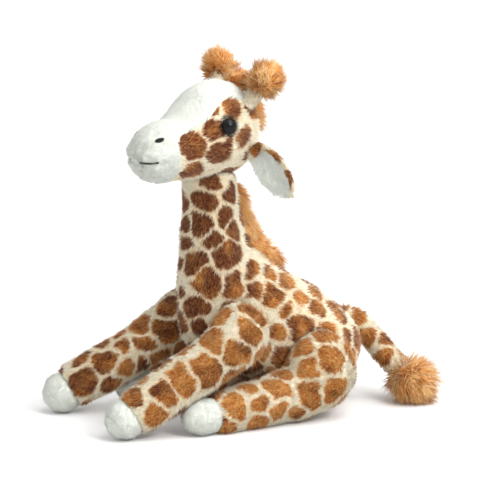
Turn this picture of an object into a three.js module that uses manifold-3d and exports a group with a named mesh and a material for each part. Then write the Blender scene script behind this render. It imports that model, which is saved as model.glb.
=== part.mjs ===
// A plush giraffe, seated with its legs stretched forward, in millimetres with +Z up.
// It faces -Y with its left side towards +X. The origin is on the ground below the seat.
// Each cover is a thin sewn shell, open where it is sewn to the next one, round its own filling.

import * as THREE from 'three';
import { mergeVertices } from 'three/addons/utils/BufferGeometryUtils.js';
import Module from 'manifold-3d';

const wasm = await Module();
wasm.setup();

// Clearances and cloth
const seatGap = 0.3;
const jointGap = 0.4;
const clothWall = 1.5;
const floorFlat = 0.5;
const cutOverrun = 4;
const cutReach = 400;

// Torso and neck
const body = {
  length: 130, height: 156, halfWidth: 36, neckRadius: 17.3, neckForward: 58.5,
};

// Front legs, hung on a shoulder each
const shoulder = {
  forwardShare: 0.4385, height: 61, lateral: 33, radius: 20.5, swell: 15, innerFace: 20.5, legDrop: 2.5,
};
const frontLeg = { radius: 17.5, hoofHeight: 13, hoofRadius: 13.4, hoofSeam: 6 };
const frontLeft = { name: 'left_front', side: 1, reach: 77.7, drift: -13.3 };
const frontRight = { name: 'right_front', side: -1, reach: 75.5, drift: 27 };

// Hind legs, lying on the ground outside the front ones
const hip = { forward: -2.5, lateral: 36, radius: 23.5, height: 28.2 };
const hindLeg = { radius: 21, hoofHeight: 11.6, hoofRadius: 12, hoofStretchShare: 1.2, hoofSeam: 10 };
const hindLeft = { name: 'left_hind', side: 1, reach: 89.3, drift: -0.2 };
const hindRight = { name: 'right_hind', side: -1, reach: 82.9, drift: 18 };

// Head, in its own frame with the origin at the nod axis on top of the neck
const head = { length: 94.5, height: 61.5, rise: 4, halfWidth: 26, turn: 6 };
const facePanel = { muzzleFront: 38.5, blazeFloor: 30 };
const eye = {
  forward: 3, height: 37, radius: 5, bulge: 3.6, shankRadius: 1.6, shankLength: 6,
  washerRadius: 4.6, washerThickness: 1.2, washerDepth: 3.2,
};
const nostril = { forward: 48.5, lateral: 12.5, length: 6, width: 3.4, thickness: 0.8 };
const mouth = { centre: 42, height: 17, span: 66, lift: 2, radius: 0.5 };
const ear = {
  forward: -18, lateral: 26.5, height: 19.5, length: 39, halfWidth: 13, thickness: 2.6, cupDepth: 2.5,
  split: 0.3, lateralReach: 24.5, drop: 28, sweep: 9, faceTurn: 17,
};
const horn = {
  baseForward: -19, baseLateral: 17, baseHeight: 49, ballForward: -27, ballLateral: 26, ballHeight: 63.3,
  stemRadius: 5.6, tipRadius: 5, ballRadius: 11.8, stemInBall: 5,
};
const crest = { halfWidth: 5, height: 8 };
const neckMane = { halfWidth: 5.5, height: 9 };

// Tail
const tail = {
  forwardShare: -0.359, height: 55.5, rootRadius: 5.6, radius: 6.6, tuftRadius: 13.8, coreRadius: 6.9,
  reach: 26, sideReach: 35,
};

// The side outline of torso and neck from rump to neck: upper forward and height, lower forward and
// height, and half width, as shares of the body's length, height and half width.
const bodyShares = [
  [-0.382, 0.256, -0.382, 0.256, 0],
  [-0.368, 0.32, -0.36, 0.179, 0.42],
  [-0.332, 0.375, -0.308, 0.077, 0.7],
  [-0.254, 0.426, -0.223, 0.013, 0.89],
  [-0.138, 0.494, -0.1, -0.004, 0.985],
  [0, 0.564, 0.062, -0.0005, 0.945],
  [0.1, 0.619, 0.215, 0.109, 0.806],
  [0.185, 0.686, 0.362, 0.199, 0.667],
  [0.246, 0.756, 0.515, 0.263, 0.583],
  [0.281, 0.827, 0.604, 0.385, 0.569],
  [0.296, 0.891, 0.604, 0.59, 0.556],
  [0.312, 0.949, 0.592, 0.801, 0.519],
  [0.317, 1, 0.583, 1, 0.4806],
];

// The head's outline from back to muzzle: forward, upper height, lower height and half width, as
// shares of the head's length, height, height and half width.
const headShares = [
  [-0.344, 0.472, 0.472, 0],
  [-0.328, 0.667, 0.26, 0.46],
  [-0.275, 0.837, 0.106, 0.79],
  [-0.169, 0.951, 0.016, 0.96],
  [-0.032, 0.99, 0, 1],
  [0.106, 0.937, 0, 0.98],
  [0.225, 0.79, 0.008, 0.904],
  [0.33, 0.668, 0.016, 0.81],
  [0.43, 0.65, 0.02, 0.75],
  [0.51, 0.612, 0.042, 0.685],
  [0.578, 0.53, 0.09, 0.56],
  [0.618, 0.425, 0.18, 0.33],
  [0.632, 0.3, 0.3, 0],
];

// The half outline of the white blaze from its back to the muzzle, seen from above: forward and half
// width, as shares of the head's length and half width.
const blazeShares = [
  [-0.18, 0.63], [-0.1, 0.632], [0, 0.63], [0.08, 0.68], [0.15, 0.72], [0.21, 0.69], [0.27, 0.62],
  [0.33, 0.54], [0.365, 0.53], [0.4, 0.66],
];

// Leg tapers from the root to the hoof, as [share of the way, half height, half width], both as shares of
// the root radius.
const frontTaperShares = [
  [0, 1, 0.8], [0.12, 0.97, 0.86], [0.25, 0.88, 0.84], [0.4, 0.77, 0.77],
  [0.6, 0.726, 0.726], [0.8, 0.709, 0.709], [1, 0.697, 0.697],
];
const hindTaperShares = [
  [0, 1, 1], [0.14, 0.98, 0.98], [0.3, 0.84, 0.84], [0.46, 0.73, 0.73],
  [0.66, 0.64, 0.64], [0.84, 0.58, 0.58], [1, 0.545, 0.545],
];

// The ear's half width and thickness from root to tip, as shares of its own.
const earShares = [
  [0, 0.5, 0.9], [0.15, 0.78, 1], [0.35, 0.98, 1], [0.55, 1, 0.95], [0.75, 0.82, 0.85], [0.9, 0.5, 0.7],
];

// The tail's way from its root to the tuft: backwards, sideways and down, as shares of its reach, its
// side step and its fall.
const tailShares = [
  [0, 0, 0], [0.31, 0.1, 0.06], [0.54, 0.31, 0.3], [0.77, 0.6, 0.64], [0.93, 0.86, 0.87], [1, 1, 1],
];

// The tail's thickness along its way, as shares of its radius.
const tailTaperShares = [[0.74], [0.79], [0.94], [1], [1], [0.95]];

// Where the neck's mane starts and ends, as shares of the way through the body's table.
const neckManeShares = [0.46, 0.955];

// The crest's way over the back of the head, as [share of the head's table, share of the ring's half height].
const crestShares = [[0.27, 1], [0.22, 1], [0.16, 1], [0.1, 1], [0, 0], [0.1, -0.5]];

// Facets
const ridgePoints = 5;
const fine = { around: 20, along: 16 };
const coarse = { around: 14, along: 11 };
const limbFine = { around: 16, along: 7 };
const limbCoarse = { around: 12, along: 5 };
const ballFacets = { around: 14, along: 8 };
const smallFacets = { around: 8, along: 6 };
const ridgeFacets = { around: 8, along: 12 };
const socketFacets = { around: 20, along: 12 };
const mouthFacets = { around: 6, along: 12 };
const tailFacets = { around: 8, along: 9 };

// How finely a place on the head is found
const halvings = 30;
const probe = 0.05;

const left = new THREE.Vector3(1, 0, 0);
const up = new THREE.Vector3(0, 0, 1);

// A point from forward, lateral and height measures.
function place(forward, lateral, height) {
  return new THREE.Vector3(lateral, -forward, height);
}

// Solids

// The closed solid of an indexed triangle mesh, turned outwards when its volume comes out negative.
function solidOfTriangles(points, triangles) {
  let volume = 0;
  for (let i = 0; i < triangles.length; i += 3) {
    const [a, b, c] = [points[triangles[i]], points[triangles[i + 1]], points[triangles[i + 2]]];
    volume += a.dot(b.clone().cross(c));
  }
  const order = volume < 0 ? triangles.slice().reverse() : triangles;
  return new wasm.Manifold(new wasm.Mesh({
    numProp: 3,
    vertProperties: new Float32Array(points.flatMap((point) => point.toArray())),
    triVerts: new Uint32Array(order),
  }));
}

// The closed solid of a three.js geometry.
function solidOfGeometry(geometry) {
  geometry.deleteAttribute('normal');
  geometry.deleteAttribute('uv');
  const merged = mergeVertices(geometry);
  const positions = merged.getAttribute('position');
  const points = [];
  for (let i = 0; i < positions.count; i += 1) {
    points.push(new THREE.Vector3().fromBufferAttribute(positions, i));
  }
  return solidOfTriangles(points, Array.from(merged.getIndex().array));
}

// The three.js geometry of a solid, moved so that the given pivot becomes its origin.
function geometryOf(solid, pivot) {
  const mesh = solid.getMesh();
  const positions = new Float32Array(mesh.numVert * 3);
  for (let i = 0; i < mesh.numVert; i += 1) {
    for (let axis = 0; axis < 3; axis += 1) {
      positions[3 * i + axis] = mesh.vertProperties[mesh.numProp * i + axis];
    }
  }
  const geometry = new THREE.BufferGeometry();
  geometry.setAttribute('position', new THREE.BufferAttribute(positions, 3));
  geometry.setIndex(Array.from(mesh.triVerts));
  geometry.translate(-pivot.x, -pivot.y, -pivot.z);
  geometry.computeVertexNormals();
  return geometry;
}

// An ellipsoid about a centre.
function ellipsoid(centre, radiusX, radiusY, radiusZ, facets = ballFacets) {
  const geometry = new THREE.SphereGeometry(1, facets.around, facets.along);
  geometry.rotateX(Math.PI / 2);
  geometry.scale(radiusX, radiusY, radiusZ);
  geometry.translate(centre.x, centre.y, centre.z);
  return solidOfGeometry(geometry);
}

// A ball about a centre.
function ball(centre, radius, facets = ballFacets) {
  return ellipsoid(centre, radius, radius, radius, facets);
}

// How much a faceted round grows so that its flats clear the true round.
function flatsShare(facets) {
  return 1 / (Math.cos(Math.PI / facets.around) * Math.cos(Math.PI / (2 * facets.along)));
}

// The space in which a faceted ellipsoid turns freely.
function socket(centre, radiusX, radiusY, radiusZ, facets) {
  const grow = flatsShare(facets);
  return ellipsoid(centre, radiusX * grow, radiusY * grow, radiusZ * grow, facets);
}

// A round bar from a point along a direction, with a radius at each end.
function bar(start, direction, length, startRadius, endRadius, around = smallFacets.around) {
  const geometry = new THREE.CylinderGeometry(endRadius, startRadius, length, around);
  const unit = direction.clone().normalize();
  geometry.applyQuaternion(new THREE.Quaternion().setFromUnitVectors(new THREE.Vector3(0, 1, 0), unit));
  const middle = start.clone().addScaledVector(unit, length / 2);
  geometry.translate(middle.x, middle.y, middle.z);
  return solidOfGeometry(geometry);
}

// Everything ahead of a plane through a point, as a long square bar along the plane's normal.
function beyondPlane(point, normal) {
  const geometry = new THREE.BoxGeometry(cutReach, cutReach, cutReach);
  geometry.translate(0, 0, cutReach / 2);
  geometry.applyQuaternion(new THREE.Quaternion().setFromUnitVectors(up, normal.clone().normalize()));
  geometry.translate(point.x, point.y, point.z);
  return solidOfGeometry(geometry);
}

// Everything above a height.
function aboveHeight(height) {
  return beyondPlane(new THREE.Vector3(0, 0, height), up);
}

// One ring of points round a centre. Its height is up above the centre and down below it, and the
// cup lifts the ring's two edges.
function ringPoints(ring, around) {
  const points = [];
  for (let i = 0; i < around; i += 1) {
    const angle = (2 * Math.PI * i) / around;
    const across = ring.width * Math.cos(angle);
    const reach = Math.sin(angle) > 0 ? ring.up : ring.down;
    const lift = reach * Math.sin(angle) + (ring.cup ?? 0) * Math.cos(angle) ** 2;
    points.push(ring.centre.clone().addScaledVector(ring.side, across).addScaledVector(ring.normal, lift));
  }
  return points;
}

// The closed solid that a row of rings sweeps out between a first and a last point.
function loft(first, rings, last, around) {
  const points = [first];
  rings.forEach((ring) => points.push(...ringPoints(ring, around)));
  points.push(last);
  const triangles = [];
  for (let i = 0; i < around; i += 1) {
    const next = (i + 1) % around;
    triangles.push(0, 1 + next, 1 + i);
    for (let row = 0; row + 1 < rings.length; row += 1) {
      const [a, b] = [1 + row * around, 1 + (row + 1) * around];
      triangles.push(a + i, a + next, b + i, a + next, b + next, b + i);
    }
    const lastRow = 1 + (rings.length - 1) * around;
    triangles.push(points.length - 1, lastRow + i, lastRow + next);
  }
  return solidOfTriangles(points, triangles);
}

// A round cord through a row of points.
function cord(points, radius, facets, taper = [[1], [1]]) {
  const curve = new THREE.CatmullRomCurve3(points);
  const rings = [];
  for (let i = 0; i <= facets.along; i += 1) {
    const share = i / facets.along;
    const tangent = curve.getTangentAt(share);
    const side = tangent.clone().cross(up).normalize();
    const normal = side.clone().cross(tangent).normalize();
    const [width, high] = [radius, radius].map((size) => size * tableAt(taper, share)[0]);
    rings.push({ centre: curve.getPointAt(share), side, normal, width, up: high, down: high });
  }
  return loft(rings[0].centre, rings, rings[facets.along].centre, facets.around);
}

// A smooth row of values at a share of the way through a table, by a Catmull-Rom spline.
function tableAt(table, share) {
  const way = share * (table.length - 1);
  const row = Math.min(Math.floor(way), table.length - 2);
  const t = way - row;
  const rowAt = (index) => table[Math.max(0, Math.min(table.length - 1, index))];
  return table[0].map((_, column) => {
    const [a, b, c, d] = [rowAt(row - 1), rowAt(row), rowAt(row + 1), rowAt(row + 2)].map((r) => r[column]);
    const slope = (c - a) * t + (2 * a - 5 * b + 4 * c - d) * t ** 2 + (3 * b - a - 3 * c + d) * t ** 3;
    return b + slope / 2;
  });
}

// The half height and half width at a share of the way along a taper.
function taperAt(taper, share) {
  const index = Math.max(1, taper.findIndex(([end]) => end >= share));
  const [[startShare, ...start], [endShare, ...end]] = [taper[index - 1], taper[index]];
  const way = (share - startShare) / (endShare - startShare);
  return start.map((value, column) => THREE.MathUtils.lerp(value, end[column], way));
}

// Torso and neck

const neckTop = place(body.neckForward, 0, body.height);
const domeRadius = body.neckRadius - clothWall - seatGap;

function bodyRing(share, offset) {
  const [topForward, topHeight, lowForward, lowHeight, width] = tableAt(bodyShares, share);
  const top = place(topForward * body.length, 0, topHeight * body.height);
  const low = place(lowForward * body.length, 0, lowHeight * body.height);
  const half = top.clone().sub(low).multiplyScalar(0.5);
  const reach = half.length() - offset;
  return {
    centre: top.clone().add(low).multiplyScalar(0.5), side: left, normal: half.normalize(),
    width: width * body.halfWidth - offset, up: reach, down: reach,
  };
}

// Torso and neck without their sockets, drawn in by an offset, with the neck carried on by an overrun.
function bodyLoft(offset, facets, overrun = 0) {
  const rings = [];
  for (let i = 1; i <= facets.along; i += 1) {
    rings.push(bodyRing(i / facets.along, offset));
  }
  const lastRing = rings[rings.length - 1];
  const end = { ...lastRing, centre: lastRing.centre.clone().addScaledVector(up, overrun) };
  if (overrun > 0) {
    rings.push(end);
  }
  const [rearForward, rearHeight] = bodyShares[0];
  const rear = place(rearForward * body.length + offset, 0, rearHeight * body.height);
  return loft(rear, rings, end.centre.clone(), facets.around);
}

const shoulderForward = shoulder.forwardShare * body.length;
const tailForward = tail.forwardShare * body.length;
const hipCentre = (side) => place(hip.forward, side * hip.lateral, hip.height);
const shoulderCentre = (side) => place(shoulderForward, side * shoulder.lateral, shoulder.height);
const tailRoot = place(tailForward, 0, tail.height);

// The spaces that the legs' roots and the tail's root turn in, grown by an offset.
function sockets(offset) {
  const grow = jointGap + offset;
  const tailSpace = tail.rootRadius + grow;
  const cuts = [socket(tailRoot, tailSpace, tailSpace, tailSpace, socketFacets)];
  const shoulderSpace = (shoulder.radius + grow) * flatsShare(socketFacets);
  [1, -1].forEach((side) => {
    const wide = hip.radius + grow;
    cuts.push(socket(hipCentre(side), wide, wide, hip.height + floorFlat + grow, socketFacets));
    const inner = place(shoulderForward, side * (shoulder.innerFace - grow), shoulder.height);
    const outwards = left.clone().multiplyScalar(side);
    cuts.push(bar(inner, outwards, body.halfWidth, shoulderSpace, shoulderSpace, socketFacets.around));
  });
  return cuts.reduce((all, cut) => all.add(cut));
}

function torsoParts() {
  const outer = bodyLoft(0, fine).subtract(sockets(0)).intersect(aboveHeight(0));
  const inner = bodyLoft(clothWall, coarse, cutOverrun).subtract(sockets(clothWall));
  const fillOffset = clothWall + seatGap;
  const filling = bodyLoft(fillOffset, coarse).subtract(sockets(fillOffset))
    .intersect(aboveHeight(fillOffset));
  return {
    cover: outer.subtract(inner.intersect(aboveHeight(clothWall))),
    filling: filling.add(ball(neckTop, domeRadius)),
  };
}

// Front legs

// The leg's axis: from a little below the shoulder's middle to the hoof's.
function frontLine(leg) {
  const start = shoulderCentre(leg.side).addScaledVector(up, -shoulder.legDrop);
  const lateral = leg.side * (shoulder.lateral + leg.drift);
  const end = place(shoulderForward + leg.reach, lateral, frontLeg.hoofHeight);
  return { start, end, direction: end.clone().sub(start).normalize() };
}

function limbRings(line, reachAt, heightAt, facets) {
  const side = line.direction.clone().cross(up).negate().normalize();
  const rings = [];
  for (let i = 0; i <= facets.along; i += 1) {
    const share = i / facets.along;
    const [reach, width] = reachAt(share);
    const centre = line.start.clone().lerp(line.end, share);
    centre.z = heightAt(share, centre.z);
    const normal = line.direction.clone().cross(side);
    rings.push({ centre, side, normal, width, up: reach, down: reach });
  }
  return rings;
}

function tubeOf(rings, around) {
  return loft(rings[0].centre, rings, rings[rings.length - 1].centre, around);
}

// The shape that clears the chest inside the leg: a disc about the shoulder that slopes away.
function chestRelief(leg, offset) {
  const face = shoulder.innerFace + offset;
  const near = shoulder.radius + cutOverrun;
  const far = near + shoulder.radius;
  const slope = shoulder.radius / 2;
  const profile = [[0, 0], [near, 0], [far, -slope], [far, -cutReach], [0, -cutReach]];
  const outline = profile.map(([radius, depth]) => new THREE.Vector2(radius, depth));
  outline.push(outline[0].clone());
  const geometry = new THREE.LatheGeometry(outline, limbFine.around);
  geometry.rotateZ(-leg.side * Math.PI / 2);
  geometry.translate(leg.side * face, -shoulderForward, shoulder.height);
  return solidOfGeometry(geometry);
}

function frontLegSolid(leg, offset, facets) {
  const line = frontLine(leg);
  const reachAt = (share) => (
    taperAt(frontTaperShares, share).map((value) => value * frontLeg.radius - offset));
  const tube = tubeOf(limbRings(line, reachAt, (share, height) => height, facets), facets.around);
  const flat = shoulder.radius - offset;
  const capFacets = { ...facets, along: facets.around / 2 };
  const cap = ellipsoid(shoulderCentre(leg.side), shoulder.swell - offset, flat, flat, capFacets);
  return tube.add(cap).subtract(chestRelief(leg, offset)).intersect(aboveHeight(offset));
}

// A hoof's ball, cut off at its seam.
function hoofBall(centre, direction, radius, stretch, facets) {
  const geometry = new THREE.SphereGeometry(radius, facets.around, facets.along);
  geometry.rotateX(Math.PI / 2);
  geometry.scale(1, 1, stretch);
  geometry.applyQuaternion(new THREE.Quaternion().setFromUnitVectors(up, direction));
  geometry.translate(centre.x, centre.y, centre.z);
  return solidOfGeometry(geometry);
}

// A leg's cover, hoof cap and filling from its outer shape at an offset, its axis and its hoof.
function legParts(solidAt, centre, direction, hoof) {
  const backwards = direction.clone().negate();
  const seam = centre.clone().addScaledVector(direction, -hoof.seam);
  const capSeam = seam.clone().addScaledVector(direction, seatGap);
  const [outer, inner] = [solidAt(0, limbFine), solidAt(clothWall, limbCoarse)];
  const footAt = (offset) => hoofBall(centre, direction, hoof.radius - offset, hoof.stretch, ballFacets);
  const cap = outer.add(footAt(0)).subtract(inner.add(footAt(clothWall).intersect(aboveHeight(clothWall))));
  const fillOffset = clothWall + seatGap;
  const filling = solidAt(fillOffset, limbCoarse).add(footAt(fillOffset).intersect(aboveHeight(fillOffset)));
  return {
    cover: outer.subtract(inner).intersect(beyondPlane(seam, backwards)),
    hoof: cap.intersect(beyondPlane(capSeam, direction)).intersect(aboveHeight(0)),
    filling,
  };
}

function frontLegParts(leg) {
  const line = frontLine(leg);
  const hoof = { radius: frontLeg.hoofRadius, stretch: 1, seam: frontLeg.hoofSeam };
  return legParts((offset, facets) => frontLegSolid(leg, offset, facets), line.end, line.direction, hoof);
}

// Hind legs

function hindLine(leg) {
  const start = hipCentre(leg.side);
  const end = place(hip.forward + leg.reach, leg.side * (hip.lateral + leg.drift), hip.height);
  return { start, end, direction: end.clone().sub(start).normalize() };
}

function hindLegSolid(leg, offset, facets) {
  const line = hindLine(leg);
  const reachAt = (share) => taperAt(hindTaperShares, share).map((value) => value * hindLeg.radius - offset);
  const heightAt = (share) => reachAt(share)[0] + offset - floorFlat;
  const tube = tubeOf(limbRings(line, reachAt, heightAt, facets), facets.around);
  const flat = hip.radius - offset;
  const haunchFacets = { ...facets, along: facets.around / 2 };
  const haunch = ellipsoid(line.start, flat, flat, hip.height + floorFlat - offset, haunchFacets);
  const clear = bodyLoft(-jointGap - offset, fine);
  return tube.subtract(clear).add(haunch).intersect(aboveHeight(offset));
}

function hindLegParts(leg) {
  const line = hindLine(leg);
  const centre = line.end.clone().setZ(hindLeg.hoofHeight);
  const hoof = { radius: hindLeg.hoofRadius, stretch: hindLeg.hoofStretchShare, seam: hindLeg.hoofSeam };
  return legParts((offset, facets) => hindLegSolid(leg, offset, facets), centre, line.direction, hoof);
}

// Head

function headRing(share, offset) {
  const [forward, top, low, width] = tableAt(headShares, share);
  const reach = ((top - low) / 2) * head.height - offset;
  const middle = ((top + low) / 2) * head.height + head.rise;
  return {
    centre: place(forward * head.length, 0, middle), side: left, normal: up,
    width: width * head.halfWidth - offset, up: reach, down: reach,
  };
}

function headLoft(offset, facets) {
  const count = facets.along;
  const rings = [];
  for (let i = 1; i < count; i += 1) {
    rings.push(headRing(i / count, offset));
  }
  const [first, last] = [headRing(0, 0), headRing(1, 0)];
  first.centre.y -= offset;
  last.centre.y += offset;
  return loft(first.centre, rings, last.centre, facets.around);
}

// The head's ring at a forward place.
function headRingAt(forward) {
  let [low, high] = [0, 1];
  for (let step = 0; step < halvings; step += 1) {
    const middle = (low + high) / 2;
    if (tableAt(headShares, middle)[0] * head.length < forward) {
      low = middle;
    } else {
      high = middle;
    }
  }
  return headRing(low, 0);
}

// How far a point lies from the head's middle line, as a share of the way to the surface.
function headDepth(point) {
  const ring = headRingAt(-point.y);
  return Math.hypot(point.x / ring.width, (point.z - ring.centre.z) / ring.up);
}

// Where a ray from inside the head leaves it, with the surface's normal there.
function onHead(origin, direction) {
  let [low, high] = [0, head.length];
  for (let step = 0; step < halvings; step += 1) {
    const middle = (low + high) / 2;
    if (headDepth(origin.clone().addScaledVector(direction, middle)) < 1) {
      low = middle;
    } else {
      high = middle;
    }
  }
  const point = origin.clone().addScaledVector(direction, low);
  const slopes = ['x', 'y', 'z'].map((axis) => {
    const [before, after] = [point.clone(), point.clone()];
    before[axis] -= probe;
    after[axis] += probe;
    return headDepth(after) - headDepth(before);
  });
  return { point, normal: new THREE.Vector3(...slopes).normalize() };
}

// The region of the white face panel: the whole muzzle and a blaze back to the horns.
function faceRegion(extra) {
  const muzzle = beyondPlane(place(facePanel.muzzleFront - extra, 0, 0), place(1, 0, 0));
  const rows = blazeShares.map(([forward, width]) => [forward * head.length, width * head.halfWidth + extra]);
  rows[0][0] -= extra;
  rows.push([facePanel.muzzleFront + cutOverrun, rows[rows.length - 1][1]]);
  const halfOutline = (side) => rows.map(([forward, width]) => new THREE.Vector2(side * width, -forward));
  const outline = new THREE.Shape([...halfOutline(1), ...halfOutline(-1).reverse()]);
  const blaze = new THREE.ExtrudeGeometry(outline, { depth: head.height, bevelEnabled: false });
  blaze.translate(0, 0, facePanel.blazeFloor + head.rise - extra);
  return muzzle.add(solidOfGeometry(blaze));
}

// The left or right eye: its place on the head and the way it looks.
function eyeSeat(side) {
  return onHead(place(eye.forward, 0, eye.height + head.rise), place(0, side, 0));
}

function eyeParts(side) {
  const { point, normal } = eyeSeat(side);
  const base = point.clone().addScaledVector(normal, seatGap);
  const sphereCentre = base.clone().addScaledVector(normal, eye.bulge - eye.radius);
  const dome = ball(sphereCentre, eye.radius, ballFacets).intersect(beyondPlane(base, normal));
  const inwards = normal.clone().negate();
  const shankStart = base.clone().addScaledVector(normal, seatGap);
  const shank = bar(shankStart, inwards, eye.shankLength + seatGap, eye.shankRadius, eye.shankRadius);
  const washerStart = point.clone().addScaledVector(inwards, eye.washerDepth);
  const hole = eye.shankRadius + seatGap;
  const { washerThickness, washerRadius } = eye;
  const disc = bar(washerStart, inwards, washerThickness, washerRadius, washerRadius, ballFacets.around);
  const washer = disc.subtract(bar(base, inwards, eye.shankLength, hole, hole));
  return { eye: dome.add(shank), washer };
}

// What the eyes' shanks and washers need out of the cover and the filling.
function eyeHoles(side, withWasher) {
  const { point, normal } = eyeSeat(side);
  const inwards = normal.clone().negate();
  const start = point.clone().addScaledVector(normal, cutOverrun);
  const hole = eye.shankRadius + seatGap;
  const shank = bar(start, inwards, cutOverrun + eye.shankLength + seatGap, hole, hole);
  if (!withWasher) {
    return shank;
  }
  const pocket = eye.washerRadius + seatGap;
  const depth = cutOverrun + eye.washerDepth + eye.washerThickness + seatGap;
  return shank.add(bar(start, inwards, depth, pocket, pocket, ballFacets.around));
}

function headParts() {
  const neckSpace = domeRadius + jointGap;
  const neckSocket = socket(new THREE.Vector3(), neckSpace, neckSpace, neckSpace, socketFacets);
  const outer = headLoft(0, fine).subtract(neckSocket);
  const shell = outer.subtract(headLoft(clothWall, coarse));
  const fillOffset = clothWall + seatGap;
  let filling = headLoft(fillOffset, coarse).subtract(neckSocket);
  let cover = shell.subtract(faceRegion(seatGap));
  [1, -1].forEach((side) => {
    cover = cover.subtract(eyeHoles(side, false));
    filling = filling.subtract(eyeHoles(side, true));
  });
  return { cover, face: shell.intersect(faceRegion(0)), filling };
}

// An oval patch of satin stitch on the muzzle.
function nostrilSolid(side) {
  const middle = headRingAt(nostril.forward).centre;
  const { point, normal } = onHead(place(nostril.forward, side * nostril.lateral, middle.z), up);
  const radius = nostril.length / 2;
  const geometry = new THREE.CylinderGeometry(radius, radius, nostril.thickness, ballFacets.around);
  geometry.rotateX(Math.PI / 2);
  geometry.scale(nostril.width / nostril.length, 1, 1);
  const across = left.clone().addScaledVector(normal, -left.dot(normal)).normalize();
  const turn = new THREE.Matrix4().makeBasis(across, normal.clone().cross(across), normal);
  geometry.applyMatrix4(turn);
  const centre = point.clone().addScaledVector(normal, seatGap + nostril.thickness / 2);
  geometry.translate(centre.x, centre.y, centre.z);
  return solidOfGeometry(geometry);
}

// The stitched line of the mouth, round the muzzle from one side to the other.
function mouthSolid() {
  const stand = seatGap + mouth.radius;
  const points = [];
  for (let i = 0; i <= mouthFacets.along; i += 1) {
    const share = (2 * i) / mouthFacets.along - 1;
    const turn = THREE.MathUtils.degToRad(share * mouth.span);
    const height = mouth.height + head.rise + mouth.lift * share ** 2;
    const direction = place(Math.cos(turn), Math.sin(turn), 0);
    const { point, normal } = onHead(place(mouth.centre, 0, height), direction);
    points.push(point.addScaledVector(normal, stand));
  }
  return cord(points, mouth.radius, mouthFacets);
}

// Ears

// The ear's own directions: along it, across it and out of its white face.
function earFrame(side) {
  const root = place(ear.forward, side * ear.lateral, ear.height + head.rise);
  const along = place(-ear.sweep, side * ear.lateralReach, -ear.drop).normalize();
  const turn = THREE.MathUtils.degToRad(ear.faceTurn);
  const face = place(Math.cos(turn), side * Math.sin(turn), 0);
  face.addScaledVector(along, -face.dot(along)).normalize();
  return { root, along, face, across: along.clone().cross(face).normalize() };
}

// One leaf of an ear: the front one bulges towards the face, the back one away from it.
function earLeaf(side, front) {
  const { root, along, face, across } = earFrame(side);
  const shift = (front ? 1 : -1) * ear.split / 2;
  const rings = earShares.map(([way, width, thickness]) => ({
    centre: root.clone().addScaledVector(along, way * ear.length).addScaledVector(face, shift),
    side: across, normal: face, width: width * ear.halfWidth, cup: ear.cupDepth * width,
    up: front ? thickness * ear.thickness : 0, down: front ? 0 : thickness * ear.thickness,
  }));
  const first = rings[0].centre.clone().addScaledVector(face, (rings[0].up - rings[0].down) / 2);
  const tip = root.clone().addScaledVector(along, ear.length).addScaledVector(face, shift);
  return loft(first, rings, tip, ballFacets.around);
}

// Horns

function hornParts(side) {
  const base = place(horn.baseForward, side * horn.baseLateral, horn.baseHeight + head.rise);
  const centre = place(horn.ballForward, side * horn.ballLateral, horn.ballHeight + head.rise);
  const way = centre.clone().sub(base);
  const start = base.clone().addScaledVector(way.clone().normalize(), -cutOverrun);
  const length = way.length() + cutOverrun - horn.ballRadius + horn.stemInBall;
  const rod = (offset) => (
    bar(start, way, length + offset, horn.stemRadius + offset, horn.tipRadius + offset, ballFacets.around));
  return {
    stem: rod(0).subtract(headLoft(-seatGap, fine)),
    ball: ball(centre, horn.ballRadius).subtract(rod(seatGap)),
  };
}

// Manes

// A ridge along a row of points on the back, standing up from it and cut by what it is sewn to.
function ridge(points, sizes, carrier) {
  const curve = new THREE.CatmullRomCurve3(points);
  const rings = [];
  const count = ridgeFacets.along;
  for (let i = 1; i < count; i += 1) {
    const share = i / count;
    const tangent = curve.getTangentAt(share);
    const swell = Math.sqrt(Math.sin(Math.PI * share));
    rings.push({
      centre: curve.getPointAt(share), side: left, normal: tangent.clone().cross(left).normalize(),
      width: sizes.halfWidth * swell, up: sizes.height * swell, down: sizes.height * swell,
    });
  }
  return loft(curve.getPointAt(0), rings, curve.getPointAt(1), ridgeFacets.around).subtract(carrier);
}

// The back line of torso and neck between two shares of the body's table.
function backLine([startShare, endShare], count) {
  const points = [];
  for (let i = 0; i <= count; i += 1) {
    const ring = bodyRing(THREE.MathUtils.lerp(startShare, endShare, i / count), 0);
    points.push(ring.centre.clone().addScaledVector(ring.normal, ring.up));
  }
  return points;
}

function neckManeSolid() {
  return ridge(backLine(neckManeShares, ridgePoints), neckMane, bodyLoft(-seatGap, fine));
}

function headManeSolid() {
  const points = crestShares.map(([way, rise]) => {
    const ring = headRing(way, 0);
    return ring.centre.clone().addScaledVector(up, rise * ring.up);
  });
  return ridge(points, crest, headLoft(-seatGap, fine));
}

// Tail

function tailParts() {
  const fall = tail.height - tail.tuftRadius + floorFlat;
  const points = tailShares.map(([back, sideways, down]) => (
    place(tailForward - back * tail.reach, sideways * tail.sideReach, tail.height - down * fall)));
  const tuftCentre = points[points.length - 1];
  const solidAt = (offset) => (
    cord(points, tail.radius + offset, tailFacets, tailTaperShares)
      .add(ball(tuftCentre, tail.coreRadius + offset, smallFacets)));
  return {
    tail: solidAt(0).add(ball(tailRoot, tail.rootRadius, smallFacets)),
    tuft: ball(tuftCentre, tail.tuftRadius).intersect(aboveHeight(0)).subtract(solidAt(seatGap)),
  };
}

// Materials

function cloth(color, roughness) {
  return new THREE.MeshStandardMaterial({ color, roughness, metalness: 0 });
}

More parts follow.
